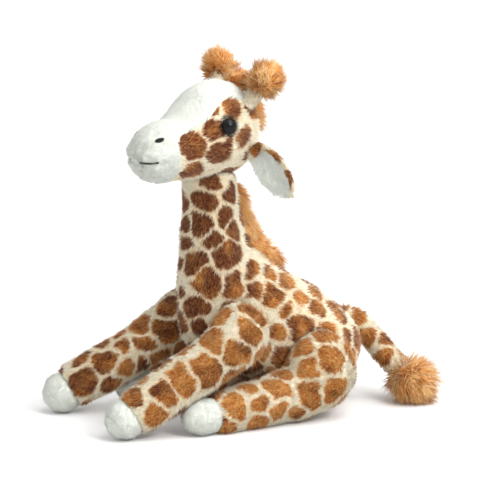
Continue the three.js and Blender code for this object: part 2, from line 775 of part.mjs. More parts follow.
const finishes = {
  plush: () => cloth(0xc98b4e, 0.95),
  white: () => cloth(0xeef0e6, 0.9),
  longPile: () => cloth(0xd49a5c, 0.97),
  filling: () => cloth(0xf6f6f2, 1),
  thread: () => cloth(0x17130f, 0.6),
  eye: () => cloth(0x0b0908, 0.08),
  washer: () => cloth(0xdedede, 0.45),
};

// Assembly

// A group at a pivot, which holds the meshes of one moving body.
function bodyGroup(pivot, turn = 0) {
  const group = new THREE.Group();
  group.position.copy(pivot);
  group.rotation.z = THREE.MathUtils.degToRad(turn);
  return group;
}

function addPiece(group, name, solid, finish, pivot) {
  const mesh = new THREE.Mesh(geometryOf(solid, pivot), finishes[finish]());
  mesh.name = name;
  group.add(mesh);
}

const giraffe = new THREE.Group();
const ground = new THREE.Vector3();

const torso = torsoParts();
addPiece(giraffe, 'torso_cover', torso.cover, 'plush', ground);
addPiece(giraffe, 'torso_filling', torso.filling, 'filling', ground);
addPiece(giraffe, 'neck_mane', neckManeSolid(), 'longPile', ground);

function addLeg(leg, parts, pivot) {
  const group = bodyGroup(pivot);
  addPiece(group, `${leg.name}_leg_cover`, parts.cover, 'plush', pivot);
  addPiece(group, `${leg.name}_leg_filling`, parts.filling, 'filling', pivot);
  addPiece(group, `${leg.name}_hoof`, parts.hoof, 'white', pivot);
  giraffe.add(group);
}

[frontLeft, frontRight].forEach((leg) => addLeg(leg, frontLegParts(leg), shoulderCentre(leg.side)));
[hindLeft, hindRight].forEach((leg) => addLeg(leg, hindLegParts(leg), hipCentre(leg.side)));

const headGroup = bodyGroup(neckTop, head.turn);
const headPieces = headParts();
addPiece(headGroup, 'head_cover', headPieces.cover, 'plush', ground);
addPiece(headGroup, 'face_panel', headPieces.face, 'white', ground);
addPiece(headGroup, 'head_filling', headPieces.filling, 'filling', ground);
addPiece(headGroup, 'head_mane', headManeSolid(), 'longPile', ground);
addPiece(headGroup, 'mouth_stitch', mouthSolid(), 'thread', ground);
giraffe.add(headGroup);

[['left', 1], ['right', -1]].forEach(([name, side]) => {
  const eyes = eyeParts(side);
  addPiece(headGroup, `${name}_eye`, eyes.eye, 'eye', ground);
  addPiece(headGroup, `${name}_eye_washer`, eyes.washer, 'washer', ground);
  addPiece(headGroup, `${name}_nostril`, nostrilSolid(side), 'thread', ground);
  const horns = hornParts(side);
  addPiece(headGroup, `${name}_horn_stem`, horns.stem, 'plush', ground);
  addPiece(headGroup, `${name}_horn_ball`, horns.ball, 'longPile', ground);
  const earPivot = earFrame(side).root;
  const earGroup = bodyGroup(earPivot);
  addPiece(earGroup, `${name}_ear_front`, earLeaf(side, true), 'white', earPivot);
  addPiece(earGroup, `${name}_ear_back`, earLeaf(side, false), 'plush', earPivot);
  headGroup.add(earGroup);
});

const tailPieces = tailParts();
const tailGroup = bodyGroup(tailRoot);
addPiece(tailGroup, 'tail_cover', tailPieces.tail, 'plush', tailRoot);
addPiece(tailGroup, 'tail_tuft', tailPieces.tuft, 'longPile', tailRoot);
giraffe.add(tailGroup);

export default giraffe;
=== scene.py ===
"""A seated plush giraffe: its sewn covers, stitches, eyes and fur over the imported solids.

Shapes are worked out in millimetres in the part's own frame, facing -Y with its left side towards +X,
and put into the meshes in metres.
"""

import logging
import math
from dataclasses import dataclass, field, replace
from typing import Callable, Optional

import bpy
import numpy as np
from mathutils import Euler, Matrix, Vector


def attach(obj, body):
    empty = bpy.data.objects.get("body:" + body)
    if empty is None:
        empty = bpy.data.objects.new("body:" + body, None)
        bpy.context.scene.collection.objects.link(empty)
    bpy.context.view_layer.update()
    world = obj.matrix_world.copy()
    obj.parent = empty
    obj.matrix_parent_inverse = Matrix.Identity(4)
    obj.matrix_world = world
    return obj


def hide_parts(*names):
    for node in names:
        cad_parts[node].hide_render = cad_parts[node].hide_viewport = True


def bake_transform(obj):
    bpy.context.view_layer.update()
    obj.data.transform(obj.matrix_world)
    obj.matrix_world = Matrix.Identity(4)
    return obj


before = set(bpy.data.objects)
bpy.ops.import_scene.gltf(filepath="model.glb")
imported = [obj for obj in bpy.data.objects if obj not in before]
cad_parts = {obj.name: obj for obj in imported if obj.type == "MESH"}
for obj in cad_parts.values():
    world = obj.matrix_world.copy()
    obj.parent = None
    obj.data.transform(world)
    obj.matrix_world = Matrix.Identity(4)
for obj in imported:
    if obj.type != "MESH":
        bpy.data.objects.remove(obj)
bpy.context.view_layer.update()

LOG = logging.getLogger("plush_giraffe")
Array = np.ndarray
AtPoints = Callable[[Array], Array]
Choice = Callable[["Roots"], Array]
Body = str | tuple[str, str]
MOST_TRIANGLES = 190_000
MM = 0.001

# The least height over the floor, in mm, and a depth that counts as far outside
LOWEST_SKIN = 0.15
LOWEST_LOCK = 0.12
OUTSIDE = 9.0


# Numbers

def unit(vectors: Array) -> Array:
    """Vectors divided by their lengths."""
    return vectors / np.maximum(np.linalg.norm(vectors, axis=-1, keepdims=True), 1e-9)


def smoothstep(low: float, high: float, value: Array) -> Array:
    """A soft step: 3 t^2 - 2 t^3, with t the value's share of the way from low to high."""
    share = np.clip((value - low) / (high - low), 0.0, 1.0)
    return share * share * (3.0 - 2.0 * share)


def spline_rows(table: Array, shares: Array) -> Array:
    """Rows of a table at shares of the way through it, by a Catmull-Rom spline with held ends."""
    way = np.clip(shares, 0.0, 1.0) * (len(table) - 1)
    row = np.minimum(way.astype(int), len(table) - 2)
    t = (way - row)[:, None]
    a, b, c, d = (table[np.clip(row + step, 0, len(table) - 1)] for step in (-1, 0, 1, 2))
    slope = (c - a) * t + (2 * a - 5 * b + 4 * c - d) * t ** 2 + (3 * b - a - 3 * c + d) * t ** 3
    return b + slope / 2.0


def full_turn(count: int) -> Array:
    """Evenly spaced angles round a circle."""
    return np.linspace(0, 2 * np.pi, count, endpoint=False)


def closed(rows: Array) -> Array:
    """The rows, with the first and the last one each drawn together to a point."""
    rows[0], rows[-1] = rows[0].mean(axis=0), rows[-1].mean(axis=0)
    return rows


def grounded(rows: Array) -> Array:
    """The rows, nowhere below the ground."""
    rows = rows.copy()
    rows[..., 2] = np.maximum(rows[..., 2], LOWEST_SKIN)
    return rows


def rings_round(middles: Array, first: Array, first_radii: Array, second: Array, second_radii: Array,
                columns: int) -> Array:
    """Elliptic rings: middle + first r cos(a) + second r' sin(a)."""
    angle = full_turn(columns)
    return (middles[:, None] + first[:, None] * (first_radii[:, None] * np.cos(angle))[..., None]
            + second[:, None] * (second_radii[:, None] * np.sin(angle))[..., None])


def wave_noise(points: Array, size: float, seed: int, channels: int = 1) -> Array:
    """Soft noise: for each channel the mean of six sine waves that cross the part in random directions."""
    rng = np.random.default_rng(seed)
    waves = unit(rng.normal(size=(channels, 6, 3))) * rng.uniform(0.6, 1.5, (channels, 6, 1))
    phase = rng.uniform(0, 2 * np.pi, (channels, 6))
    angle = np.einsum("nk,cwk->ncw", points, waves) * (2 * np.pi / size) + phase
    return np.sin(angle).sum(axis=2) / 2.2


def tufts(points: Array, size: float, seed: int) -> tuple[Array, Array, Array]:
    """The tuft that each place belongs to: space is cut into bent cubes, and each cube is one tuft.

    Gives the way from each place to its tuft's middle, the tuft's random vector and its random tone.
    """
    rng = np.random.default_rng(seed)
    table = rng.normal(size=(4096, 4)) * 0.6
    bend = wave_noise(points, size * 3.1, seed + 1, 3) * size * 0.5
    cell = np.floor((points + bend) / size)
    mixed = cell.astype(np.int64) @ np.array([73856093, 19349663, 83492791])
    own = table[mixed & 4095]
    return (cell + 0.5) * size - bend - points, own[:, :3], own[:, 3]


def linear(red: float, green: float, blue: float) -> Array:
    """A colour written in 0 to 255 as the linear values that a renderer uses."""
    shares = np.array([red, green, blue]) / 255.0
    return np.where(shares <= 0.04045, shares / 12.92, ((shares + 0.055) / 1.055) ** 2.4)


def far_wall(origins: Array, ways: Array, centre: Array, axes: Array, radii: Array) -> Array:
    """How far rays run before they leave an ellipsoid: the larger root of |o + t d| = 1 in its space."""
    start = (origins - centre) @ axes.T / radii
    step = ways @ axes.T / radii
    a = (step * step).sum(axis=-1)
    b = (start * step).sum(axis=-1)
    c = (start * start).sum(axis=-1) - 1.0
    inside = b * b - a * c
    root = np.sqrt(np.maximum(inside, 0.0))
    return np.where(inside > 0, np.maximum((root - b) / a, 0.0), 0.0)


# The photograph's frame

@dataclass(frozen=True)
class Photo:
    """Where places on the part fall in the photograph, seen from far away."""

    right: Array = field(default_factory=lambda: np.array([0.530, 0.848, 0.0]))
    up: Array = field(default_factory=lambda: np.array([-0.2051, 0.1282, 0.9703]))
    toward: Array = field(default_factory=lambda: np.array([0.8228, -0.5143, 0.2419]))
    origin: tuple[float, float] = (287.2, 405.4)
    mm_a_pixel: float = 0.64
    pixels: int = 480

    def project(self, points: Array) -> Array:
        """Pixel places of points in mm, as rows of across and down."""
        across = self.origin[0] + points @ self.right / self.mm_a_pixel
        down = self.origin[1] - points @ self.up / self.mm_a_pixel
        return np.stack([across, down], axis=-1)

    def middle(self) -> Array:
        """The place in mm that shows in the middle of the photograph."""
        half = self.pixels / 2
        across = (half - self.origin[0]) * self.mm_a_pixel
        rise = (self.origin[1] - half) * self.mm_a_pixel
        return self.right * across + self.up * rise + self.toward * 50.0

    def on_skin(self, skin: "Skin", marks: Array) -> tuple[Array, Array]:
        """Where marks, rows of pixel across, pixel down and pixel radius, lie on the near side of a skin."""
        if not len(marks):
            return np.zeros((0, 3)), np.zeros(0)
        points = skin.points.reshape(-1, 3)
        facing = skin.normals.reshape(-1, 3) @ self.toward > 0.02
        points = points[facing]
        flat = self.project(points)
        depth = points @ self.toward
        away = np.hypot(flat[None, :, 0] - marks[:, None, 0], flat[None, :, 1] - marks[:, None, 1])
        score = away - 0.02 * (depth - depth.min())[None, :]
        return points[score.argmin(axis=1)], marks[:, 2] * self.mm_a_pixel


# Meshes

@dataclass
class MeshData:
    """Arrays of one mesh, in mm, with one value of each kind for each corner point."""

    points: Array
    faces: Array
    places: Optional[Array] = None
    coat: Optional[Array] = None
    strand: Optional[Array] = None
    normals: Optional[Array] = None

    def to_object(self, name: str) -> bpy.types.Object:
        """Makes a mesh object whose place is in its mesh."""
        mesh = bpy.data.meshes.new(name)
        corners = self.faces.shape[1]
        used = self.faces.ravel().astype(np.int32)
        mesh.vertices.add(len(self.points))
        mesh.vertices.foreach_set("co", (self.points * MM).astype(np.float32).ravel())
        mesh.loops.add(len(used))
        mesh.loops.foreach_set("vertex_index", used)
        mesh.polygons.add(len(self.faces))
        mesh.polygons.foreach_set("loop_start", np.arange(0, len(used), corners, dtype=np.int32))
        mesh.polygons.foreach_set("use_smooth", np.ones(len(self.faces), dtype=bool))
        if self.places is not None:
            layer = mesh.uv_layers.new(name="OFBake")
            layer.data.foreach_set("uv", self.places[used].astype(np.float32).ravel())
        if self.coat is not None:
            colours = np.concatenate([self.coat, np.ones((len(self.coat), 1))], axis=1)
            mesh.attributes.new("Coat", "FLOAT_COLOR", "POINT")
            mesh.attributes["Coat"].data.foreach_set("color", colours.astype(np.float32).ravel())
        if self.strand is not None:
            mesh.attributes.new("Strand", "FLOAT", "POINT")
            mesh.attributes["Strand"].data.foreach_set("value", self.strand.astype(np.float32))
        mesh.update(calc_edges=True)
        if self.normals is not None:
            mesh.normals_split_custom_set_from_vertices(self.normals.astype(np.float32))
        made = bpy.data.objects.new(name, mesh)
        bpy.context.scene.collection.objects.link(made)
        return made


@dataclass
class Skin:
    """A closed surface on a grid whose first and last rows are each one point.

    The grid's normals are the cross product of its two slopes, turned outwards, and its flow is the slope
    along the rows.
    """

    points: Array
    along: float = 1.0
    normals: Array = field(init=False)
    flow: Array = field(init=False)
    turned: bool = field(init=False)

    def __post_init__(self) -> None:
        """Works out the normals and the flow."""
        around = np.roll(self.points, -1, axis=1) - np.roll(self.points, 1, axis=1)
        down = np.gradient(self.points, axis=0)
        a, b, c, d = self.corners()
        volume = ((a + b + c + d) * np.cross(c - a, d - b)).sum()
        self.turned = bool(volume < 0)
        normals = unit(np.cross(around, down)) * (-1.0 if self.turned else 1.0)
        normals[0] = unit(normals[1].mean(axis=0))
        normals[-1] = unit(normals[-2].mean(axis=0))
        self.normals = normals
        self.flow = unit(down) * self.along

    def corners(self) -> tuple[Array, Array, Array, Array]:
        """The four corners of each cell, in order round it."""
        after = np.roll(self.points, -1, axis=1)
        return self.points[:-1], after[:-1], after[1:], self.points[1:]

    def moved(self, shift: Array) -> "Skin":
        """The same skin with its points moved out along their normals, by one distance or one for each."""
        shift = np.broadcast_to(np.asarray(shift, dtype=float), self.points.shape[:2]).copy()
        shift[0] = shift[0].mean()
        shift[-1] = shift[-1].mean()
        return Skin(self.points + self.normals * shift[..., None], self.along)

    def places(self) -> Array:
        """Each grid point's place in the skin's own square, kept off its edges."""
        rows, columns = self.points.shape[:2]
        across = (np.arange(columns) + 0.5) / columns
        down = np.arange(rows) / (rows - 1)
        grid = np.stack(np.broadcast_arrays(across[None, :], down[:, None]), axis=-1)
        return 0.01 + 0.98 * grid

    def mesh(self, coat: AtPoints) -> MeshData:
        """The skin as triangles, with a second column at the seam so that its places don't wrap."""
        rows, columns = self.points.shape[:2]
        index = 1 + np.arange((rows - 2) * columns).reshape(rows - 2, columns)
        points = np.concatenate([self.points[:1, 0], self.points[1:-1].reshape(-1, 3), self.points[-1:, 0]])
        places = self.places()
        flat = np.concatenate([places[:1, 0], places[1:-1].reshape(-1, 2), places[-1:, 0]])
        after = np.roll(index, -1, axis=1)
        a, b, c, d = index[:-1], after[:-1], after[1:], index[1:]
        sides = [np.stack([a, b, c], axis=-1), np.stack([a, c, d], axis=-1)]
        top = np.stack([np.zeros(columns, dtype=int), after[0], index[0]], axis=-1)
        last = np.full(columns, len(points) - 1)
        end = np.stack([last, index[-1], after[-1]], axis=-1)
        faces = np.concatenate([side.reshape(-1, 3) for side in sides] + [top, end])
        if self.turned:
            faces = faces[:, ::-1]
        return MeshData(points, faces, flat, coat(points))

    def sample(self, count: int, rng: np.random.Generator) -> "Roots":
        """Random places on the skin, as dense everywhere, by picking cells by their area."""
        rows, columns = self.points.shape[:2]
        a, b, c, d = self.corners()
        area = (np.linalg.norm(np.cross(b - a, d - a), axis=-1)
                + np.linalg.norm(np.cross(b - c, d - c), axis=-1)) / 2
        steps = np.cumsum(area.ravel())
        cell = np.searchsorted(steps, rng.uniform(0, steps[-1], count))
        row, column = np.divmod(np.minimum(cell, area.size - 1), columns)
        s, t = rng.uniform(size=(2, count, 1))
        after = (column + 1) % columns

        def mixed(grid: Array) -> Array:
            """The grid's values at the picked places."""
            first = grid[row, column] * (1 - s) + grid[row, after] * s
            second = grid[row + 1, column] * (1 - s) + grid[row + 1, after] * s
            return first * (1 - t) + second * t

        across = (column[:, None] + 0.5 + s) / columns
        down = (row[:, None] + t) / (rows - 1)
        places = 0.01 + 0.98 * np.concatenate([np.minimum(across, 1.0), down], axis=1)
        return Roots(mixed(self.points), unit(mixed(self.normals)), unit(mixed(self.flow)), places)

    def area(self) -> float:
        """The skin's area in square mm."""
        a, b, c, d = self.corners()
        return float(np.linalg.norm(np.cross(c - a, d - b), axis=-1).sum() / 2)


@dataclass
class Roots:
    """Places that locks grow from."""

    points: Array
    normals: Array
    flow: Array
    places: Array

    def only(self, kept: Array) -> "Roots":
        """The roots for which kept is true."""
        return Roots(self.points[kept], self.normals[kept], self.flow[kept], self.places[kept])


# Fur

@dataclass(frozen=True)
class Pile:
    """A kind of fur: locks a square mm, their length and width in mm, and how they lie.

    A lock's middle line is root + length (t aim + t^2 sag / 2), with t from 0 to 1, and its three-sided
    section narrows to nothing at the tip. The tips of one tuft gather over its middle.
    """

    density: float
    length: float
    width: float
    rise: float
    scatter: float = 0.25
    clump: float = 2.0
    gather: float = 0.55
    pull: float = 0.3
    sag: float = 0.0
    rings: int = 1
    uneven: float = 0.22
    softness: float = 0.55
    tones: float = 0.13
    least_lift: float = 0.18
    taper: float = 1.6
    place_spread: float = 0.0016

    def grow(self, roots: Roots, coat: AtPoints, seed: int) -> MeshData:
        """Grows one lock from each root."""
        rng = np.random.default_rng(seed)
        count = len(roots.points)
        rise = np.radians(self.rise)
        middle, shared, tone = tufts(roots.points, self.clump, seed // 100 + 5)
        middle = middle - roots.normals * (middle * roots.normals).sum(axis=1, keepdims=True)
        aim = roots.normals * math.sin(rise) + roots.flow * math.cos(rise)
        aim = aim + rng.normal(size=(count, 3)) * self.scatter * 0.6 + shared * self.pull
        aim = aim + middle * (self.gather / self.length)
        lift = (aim * roots.normals).sum(axis=1, keepdims=True)
        aim = unit(aim + roots.normals * np.maximum(self.least_lift - lift, 0.0))
        length = self.length * (1 + self.uneven * rng.normal(size=count)).clip(0.4, 1.5)
        length = length * (1 + 0.15 * wave_noise(roots.points, 9.0, seed + 9)[:, 0])
        sag = roots.flow * self.sag + rng.normal(size=(count, 3)) * self.sag * 0.4
        side = unit(np.cross(aim, rng.normal(size=(count, 3))))
        other = np.cross(aim, side)
        width = self.width * rng.uniform(0.75, 1.25, count)
        shares = np.arange(self.rings + 1) / self.rings if self.rings > 1 else np.array([0.0, 1.0])
        turns = np.arange(3) * (2 * np.pi / 3)
        rings, looks = [], []
        for share in shares[:-1]:
            middle = roots.points + length[:, None] * (share * aim + share ** 2 * sag / 2)
            half = (width * (1 - share ** self.taper) / 2)[:, None]
            for turn in turns:
                out = side * math.cos(turn) + other * math.sin(turn)
                rings.append(middle + out * half)
                looks.append(out)
        rings.append(roots.points + length[:, None] * (aim + sag / 2))
        looks.append(aim)
        points = np.stack(rings, axis=1)
        points[:, :, 2] = np.maximum(points[:, :, 2], LOWEST_LOCK)
        look = np.stack(looks, axis=1)
        normals = unit(roots.normals[:, None, :] * self.softness + look * (1 - self.softness))
        each = points.shape[1]
        one = []
        for level in range(len(shares) - 2):
            low, high = 3 * level, 3 * level + 3
            for k in range(3):
                n = (k + 1) % 3
                one += [(low + k, low + n, high + n), (low + k, high + n, high + k)]
        low = each - 4
        one += [(low + k, low + (k + 1) % 3, each - 1) for k in range(3)]
        faces = (np.array(one)[None] + (np.arange(count) * each)[:, None, None]).reshape(-1, 3)
        strand = np.concatenate([np.repeat(shares[:-1], 3), [1.0]])
        shift = np.stack([np.concatenate([np.tile([-1.0, 0.0, 1.0], len(shares) - 1), [0.0]]),
                          strand * 2 - 0.5], axis=-1) * self.place_spread
        places = np.clip(roots.places[:, None, :] + shift, 0.0, 1.0)
        power = 1 + self.tones * (rng.normal(size=count) + 0.9 * tone)
        colour = np.clip(coat(roots.points), 0.001, 1.0) ** power.clip(0.6, 1.6)[:, None]
        return MeshData(
            points.reshape(-1, 3), faces, places.reshape(-1, 2),
            np.repeat(colour, each, axis=0), np.tile(strand, count), normals.reshape(-1, 3))


# The coat

CREAM = linear(255, 247, 226)
TAN = linear(246, 216, 172)
PATCH = linear(208, 150, 84)
PATCH_DARK = linear(152, 98, 56)
PATCH_LIGHT = linear(226, 172, 104)
LONG_PILE = linear(244, 196, 132)
LONG_PILE_DARK = linear(222, 163, 99)
WHITE_PILE = linear(247, 250, 241)


@dataclass
class Coat:
    """Rounded brown patches on a cream ground.

    A place belongs to the patch whose centre is nearest, less a share of its radius. Its distance to the
    border is half the lead over the others, taken together by a soft minimum, which rounds the corners.
    """

    centres: Array
    radii: Array
    gap: float = 1.8
    soft: float = 0.5
    rounding: float = 0.5
    radius_share: float = 0.6
    grow: float = 1.34
    spare: float = 0.4
    halo: float = 0.55
    own_tone: float = 0.45
    drift: float = 0.5
    seed: int = 3
    tone: float = 0.0
    # Darkening by place: on the torso partly the coat's own darker tone and partly painted shade
    shade: Optional[AtPoints] = None

    def colours(self, points: Array) -> Array:
        """Linear colours at places in mm."""
        blocks = np.array_split(points, len(points) // 20000 + 1)
        return np.concatenate([self._some(block) for block in blocks])

    def _some(self, points: Array) -> Array:
        """Linear colours at some places in mm."""
        bent = points + 1.3 * wave_noise(points, 17.0, self.seed, 3) + 0.35 * wave_noise(points, 5.0, 8, 3)
        away = np.linalg.norm(bent[:, None, :] - self.centres[None], axis=-1)
        reach = away - self.radius_share * self.radii
        first = reach.argmin(axis=1)
        lead = reach - reach[np.arange(len(bent)), first][:, None]
        rest = np.exp(-self.rounding * lead).sum(axis=1) - 1.0
        border = -np.log(np.maximum(rest, 1e-9)) / self.rounding / 2
        own = self.radii[first] * self.grow + self.spare - away[np.arange(len(bent)), first]
        edge = np.minimum(border - self.gap / 2, own)
        share = smoothstep(-self.soft, self.soft, edge)[:, None]
        halo = smoothstep(-self.soft * 3.2, self.soft * 0.5, edge)[:, None] * self.halo
        tones = np.random.default_rng(self.seed).uniform(-1, 1, len(self.radii))[first]
        drift = wave_noise(points, 14.0, self.seed + 2)[:, 0]
        tone = self.tone + self.own_tone * tones + self.drift * drift
        tone = (tone + (self.shade(points) if self.shade else 0.0))[:, None]
        brown = PATCH + (PATCH_LIGHT - PATCH) * np.clip(tone, 0, 1)
        brown = brown + (PATCH_DARK - PATCH) * np.clip(-tone, 0, 1)
        ground = CREAM + (TAN - CREAM) * halo
        return ground + (brown - ground) * share


def plain(colour: Array, other: Array, size: float, seed: int) -> AtPoints:
    """A coat of one colour that drifts softly towards another."""
    def colours(points: Array) -> Array:
        """Linear colours at places in mm."""
        share = np.clip(0.5 + 0.5 * wave_noise(points, size, seed), 0, 1)
        return colour + (other - colour) * share
    return colours


def spread_patches(skin: Skin, seeds: Array, radii: Array, spacing: float, seed: int,
                   mirror: bool = False) -> tuple[Array, Array]:
    """Adds patches where the photograph shows none of the skin, no nearer to each other than a spacing."""
    rng = np.random.default_rng(seed)
    extra = skin.sample(3000, rng).points
    tried = np.concatenate([seeds * [-1, 1, 1], extra]) if mirror else extra
    sizes = rng.uniform(0.36, 0.46, len(tried)) * spacing
    if mirror:
        sizes[:len(radii)] = radii
    centres, found = list(seeds), list(radii)
    for place, size in zip(tried, sizes):
        nearest = np.linalg.norm(np.array(centres) - place, axis=1).min() if centres else spacing
        if nearest >= spacing * rng.uniform(0.88, 1.1):
            centres.append(place)
            found.append(size)
    return np.array(centres), np.array(found)


# Finishes

@dataclass
class Graph:
    """The shader nodes of a material or of the world."""

    tree: bpy.types.NodeTree

    def add(self, kind: str, **inputs: float | tuple) -> bpy.types.Node:
        """Adds a node, with values for inputs in whose names an underscore stands for a space."""
        return self.fill(self.tree.nodes.new(f"ShaderNode{kind}"), **inputs)

    def fill(self, node: bpy.types.Node, **inputs: float | tuple) -> bpy.types.Node:
        """Gives values to a node's inputs."""
        for name, value in inputs.items():
            node.inputs[name.replace("_", " ")].default_value = value
        return node

    def product(self) -> bpy.types.Node:
        """Adds a node that multiplies two colours."""
        node = self.add("Mix")
        node.data_type, node.blend_type = "RGBA", "MULTIPLY"
        return self.fill(node, Factor=1.0)

    def attribute(self, name: str) -> bpy.types.Node:
        """Adds a node that reads one of the mesh's attributes."""
        node = self.add("Attribute")
        node.attribute_name = name
        return node

    def join(self, source: bpy.types.Node, out: str, target: bpy.types.Node, into: str | int) -> None:
        """Links an output to an input."""
        self.tree.links.new(source.outputs[out], target.inputs[into])


@dataclass(frozen=True)
class Finish:
    """One finish: its gloss and grain, and its colour, which the mesh's Coat gives where it has none.

    A finish for locks paints shade at their root, by a power of their colour, and paints light at their tip.
    Any other has a fine bump.
    """

    name: str
    slot: str
    locks: bool = False
    colour: Optional[tuple[float, float, float]] = None
    roughness: float = 0.9
    sheen: float = 0.0
    specular: float = 0.2
    coat: float = 0.0
    grain: float = 420.0
    mottle: float = 0.1
    depth: float = 0.25
    # Painted shade at a lock's root, and painted light at its tip
    root_shade_power: float = 2.0
    root_painted_shade: float = 0.74
    tip_painted_light: float = 1.08

    def material(self) -> bpy.types.Material:
        """The finish as a node material, made once."""
        made = bpy.data.materials.get(self.name)
        if made is not None:
            return made
        made = bpy.data.materials.new(self.name)
        made.use_nodes = True
        graph = Graph(made.node_tree)
        shader = graph.fill(
            made.node_tree.nodes["Principled BSDF"], Roughness=self.roughness, Sheen_Weight=self.sheen,
            Sheen_Roughness=0.6, Specular_IOR_Level=self.specular, Coat_Weight=self.coat,
            Coat_Roughness=0.05)
        grain = graph.add("TexNoise", Scale=self.grain, Detail=4.0)
        graph.join(graph.add("TexCoord"), "Object", grain, "Vector")
        shade = graph.add("MapRange", From_Min=0.3, From_Max=0.7, To_Min=1.0 - self.mottle,
                          To_Max=1.0 + self.mottle)
        graph.join(grain, "Fac", shade, "Value")
        tint = graph.product()
        if self.colour is None:
            graph.join(graph.attribute("Coat"), "Color", tint, "A")
        else:
            tint.inputs["A"].default_value = (*linear(*self.colour), 1.0)
        graph.join(shade, "Result", tint, "B")
        if self.locks:
            tint = self._strand_shade(graph, tint)
        else:
            bump = graph.add("Bump", Strength=self.depth, Distance=0.0004)
            graph.join(grain, "Fac", bump, "Height")
            graph.join(bump, "Normal", shader, "Normal")
        graph.join(tint, "Result", shader, "Base Color")
        return made

    def _strand_shade(self, graph: Graph, colour: bpy.types.Node) -> bpy.types.Node:
        """The node that paints shade into a colour at its lock's root and paints light at its tip."""
        strand = graph.attribute("Strand")
        power = graph.add("MapRange", To_Min=self.root_shade_power, To_Max=0.95)
        graph.join(strand, "Fac", power, "Value")
        deep = graph.add("Gamma")
        graph.join(colour, "Result", deep, "Color")
        graph.join(power, "Result", deep, "Gamma")
        tint = graph.add("MapRange", To_Min=self.root_painted_shade, To_Max=self.tip_painted_light)
        graph.join(strand, "Fac", tint, "Value")
        mixed = graph.product()
        graph.join(deep, "Color", mixed, "A")
        graph.join(tint, "Result", mixed, "B")
        return mixed


PLUSH_CLOTH = Finish("patched plush cloth", "patched_plush", sheen=0.1, depth=0.5)
PLUSH_PILE = Finish("patched plush pile", "patched_plush", locks=True, sheen=0.15, tip_painted_light=1.16)
WHITE_CLOTH = Finish("white plush cloth", "white_short_pile", sheen=0.05, mottle=0.02, depth=0.4)
WHITE_SHORT = Finish("white short pile", "white_short_pile", locks=True, sheen=0.05, mottle=0.02,
                     root_shade_power=1.2, root_painted_shade=0.88, tip_painted_light=0.99)
LONG_CLOTH = Finish("long pile cloth", "long_pile", sheen=0.1, depth=0.5)
LONG_LOCKS = Finish("long pile locks", "long_pile", locks=True, sheen=0.2, root_shade_power=1.7, tip_painted_light=1.12)
EYE_BLACK = Finish("glossy black eye", "eye_black", colour=(9, 8, 8), roughness=0.28, specular=0.22,
                   coat=0.06, grain=60.0, mottle=0.02, depth=0.0)
THREAD = Finish("black thread", "black_thread", colour=(20, 16, 14), roughness=0.6, sheen=0.1, grain=1800.0,
                mottle=0.2, depth=0.6)
WASHER = Finish("washer plastic", "washer_plastic", colour=(232, 232, 226), roughness=0.4, specular=0.5,
                grain=300.0, mottle=0.04, depth=0.1)

PLUSH = (PLUSH_CLOTH, PLUSH_PILE)
WHITE = (WHITE_CLOTH, WHITE_SHORT)
LONG_HAIR = (LONG_CLOTH, LONG_LOCKS)

BODY_PILE = Pile(density=3.4, length=2.7, width=0.52, rise=38.0, scatter=0.34, clump=1.7, gather=0.5,
                 tones=0.3, softness=0.66)
NAP = Pile(density=4.4, length=1.4, width=0.42, rise=48.0, scatter=0.4, clump=1.6, gather=0.45, pull=0.35,
           tones=0.25, softness=0.66)
LONG = Pile(density=3.3, length=5.8, width=0.72, rise=60.0, scatter=0.6, clump=3.4, gather=0.95, pull=0.95,
            sag=0.7, rings=2, tones=0.3, softness=0.6)


# Pieces

@dataclass
class Workshop:
    """Makes objects from skins and piles, and tells the frame what they are."""

    def cover(self, name: str, data: MeshData, finish: Finish, body: Body,
              nodes: tuple[str, ...] = (), fill: Optional[float] = None) -> None:
        """Makes one piece and seats it in the frame. Its fill is not used.

        It rides on its body, or stays fixed where it is made between two. It stands for the nodes, which it
        hides.
        """
        made = data.to_object(name)
        made.data.materials.append(finish.material())
        if isinstance(body, tuple):
            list(body)
            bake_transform(made)
        else:
            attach(made, body)
        if nodes:
            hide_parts(*nodes)
        LOG.info("%s: %d triangles", name, len(data.faces))

    def fur(self, name: str, skin: Skin, pile: Pile, coat: AtPoints, finish: Finish,
            body: Body, seed: int, keep: Optional[Choice] = None) -> None:
        """Grows a pile on a skin, in as many pieces as it needs."""
        rng = np.random.default_rng(seed)
        roots = skin.sample(int(skin.area() * pile.density), rng)
        if keep is not None:
            roots = roots.only(keep(roots))
        roots = roots.only(np.argsort(roots.places[:, 1]))
        a_lock = 3 + 6 * (pile.rings - 1)
        parts = max(1, math.ceil(len(roots.points) * a_lock / MOST_TRIANGLES))
        for number, some in enumerate(np.array_split(np.arange(len(roots.points)), parts), start=1):
            label = name if parts == 1 else f"{name}_{number}"
            self.cover(label, pile.grow(roots.only(some), coat, seed + number), finish, body)

    def dressed(self, name: str, skin: Skin, coat: AtPoints, finishes: tuple[Finish, Finish], pile: Pile,
                body: Body, nodes: tuple[str, ...], seed: int, keep: Optional[Choice] = None,
                fill: Optional[float] = None, words: tuple[str, str] = ("skin", "pile")) -> None:
        """Makes a cover with its pile, each named by its own word after the name."""
        cloth, locks = finishes
        self.cover(f"{name}_{words[0]}", skin.mesh(coat), cloth, body, nodes, fill)
        self.fur(f"{name}_{words[1]}", skin, pile, coat, locks, body, seed, keep)


# Proportions and marks

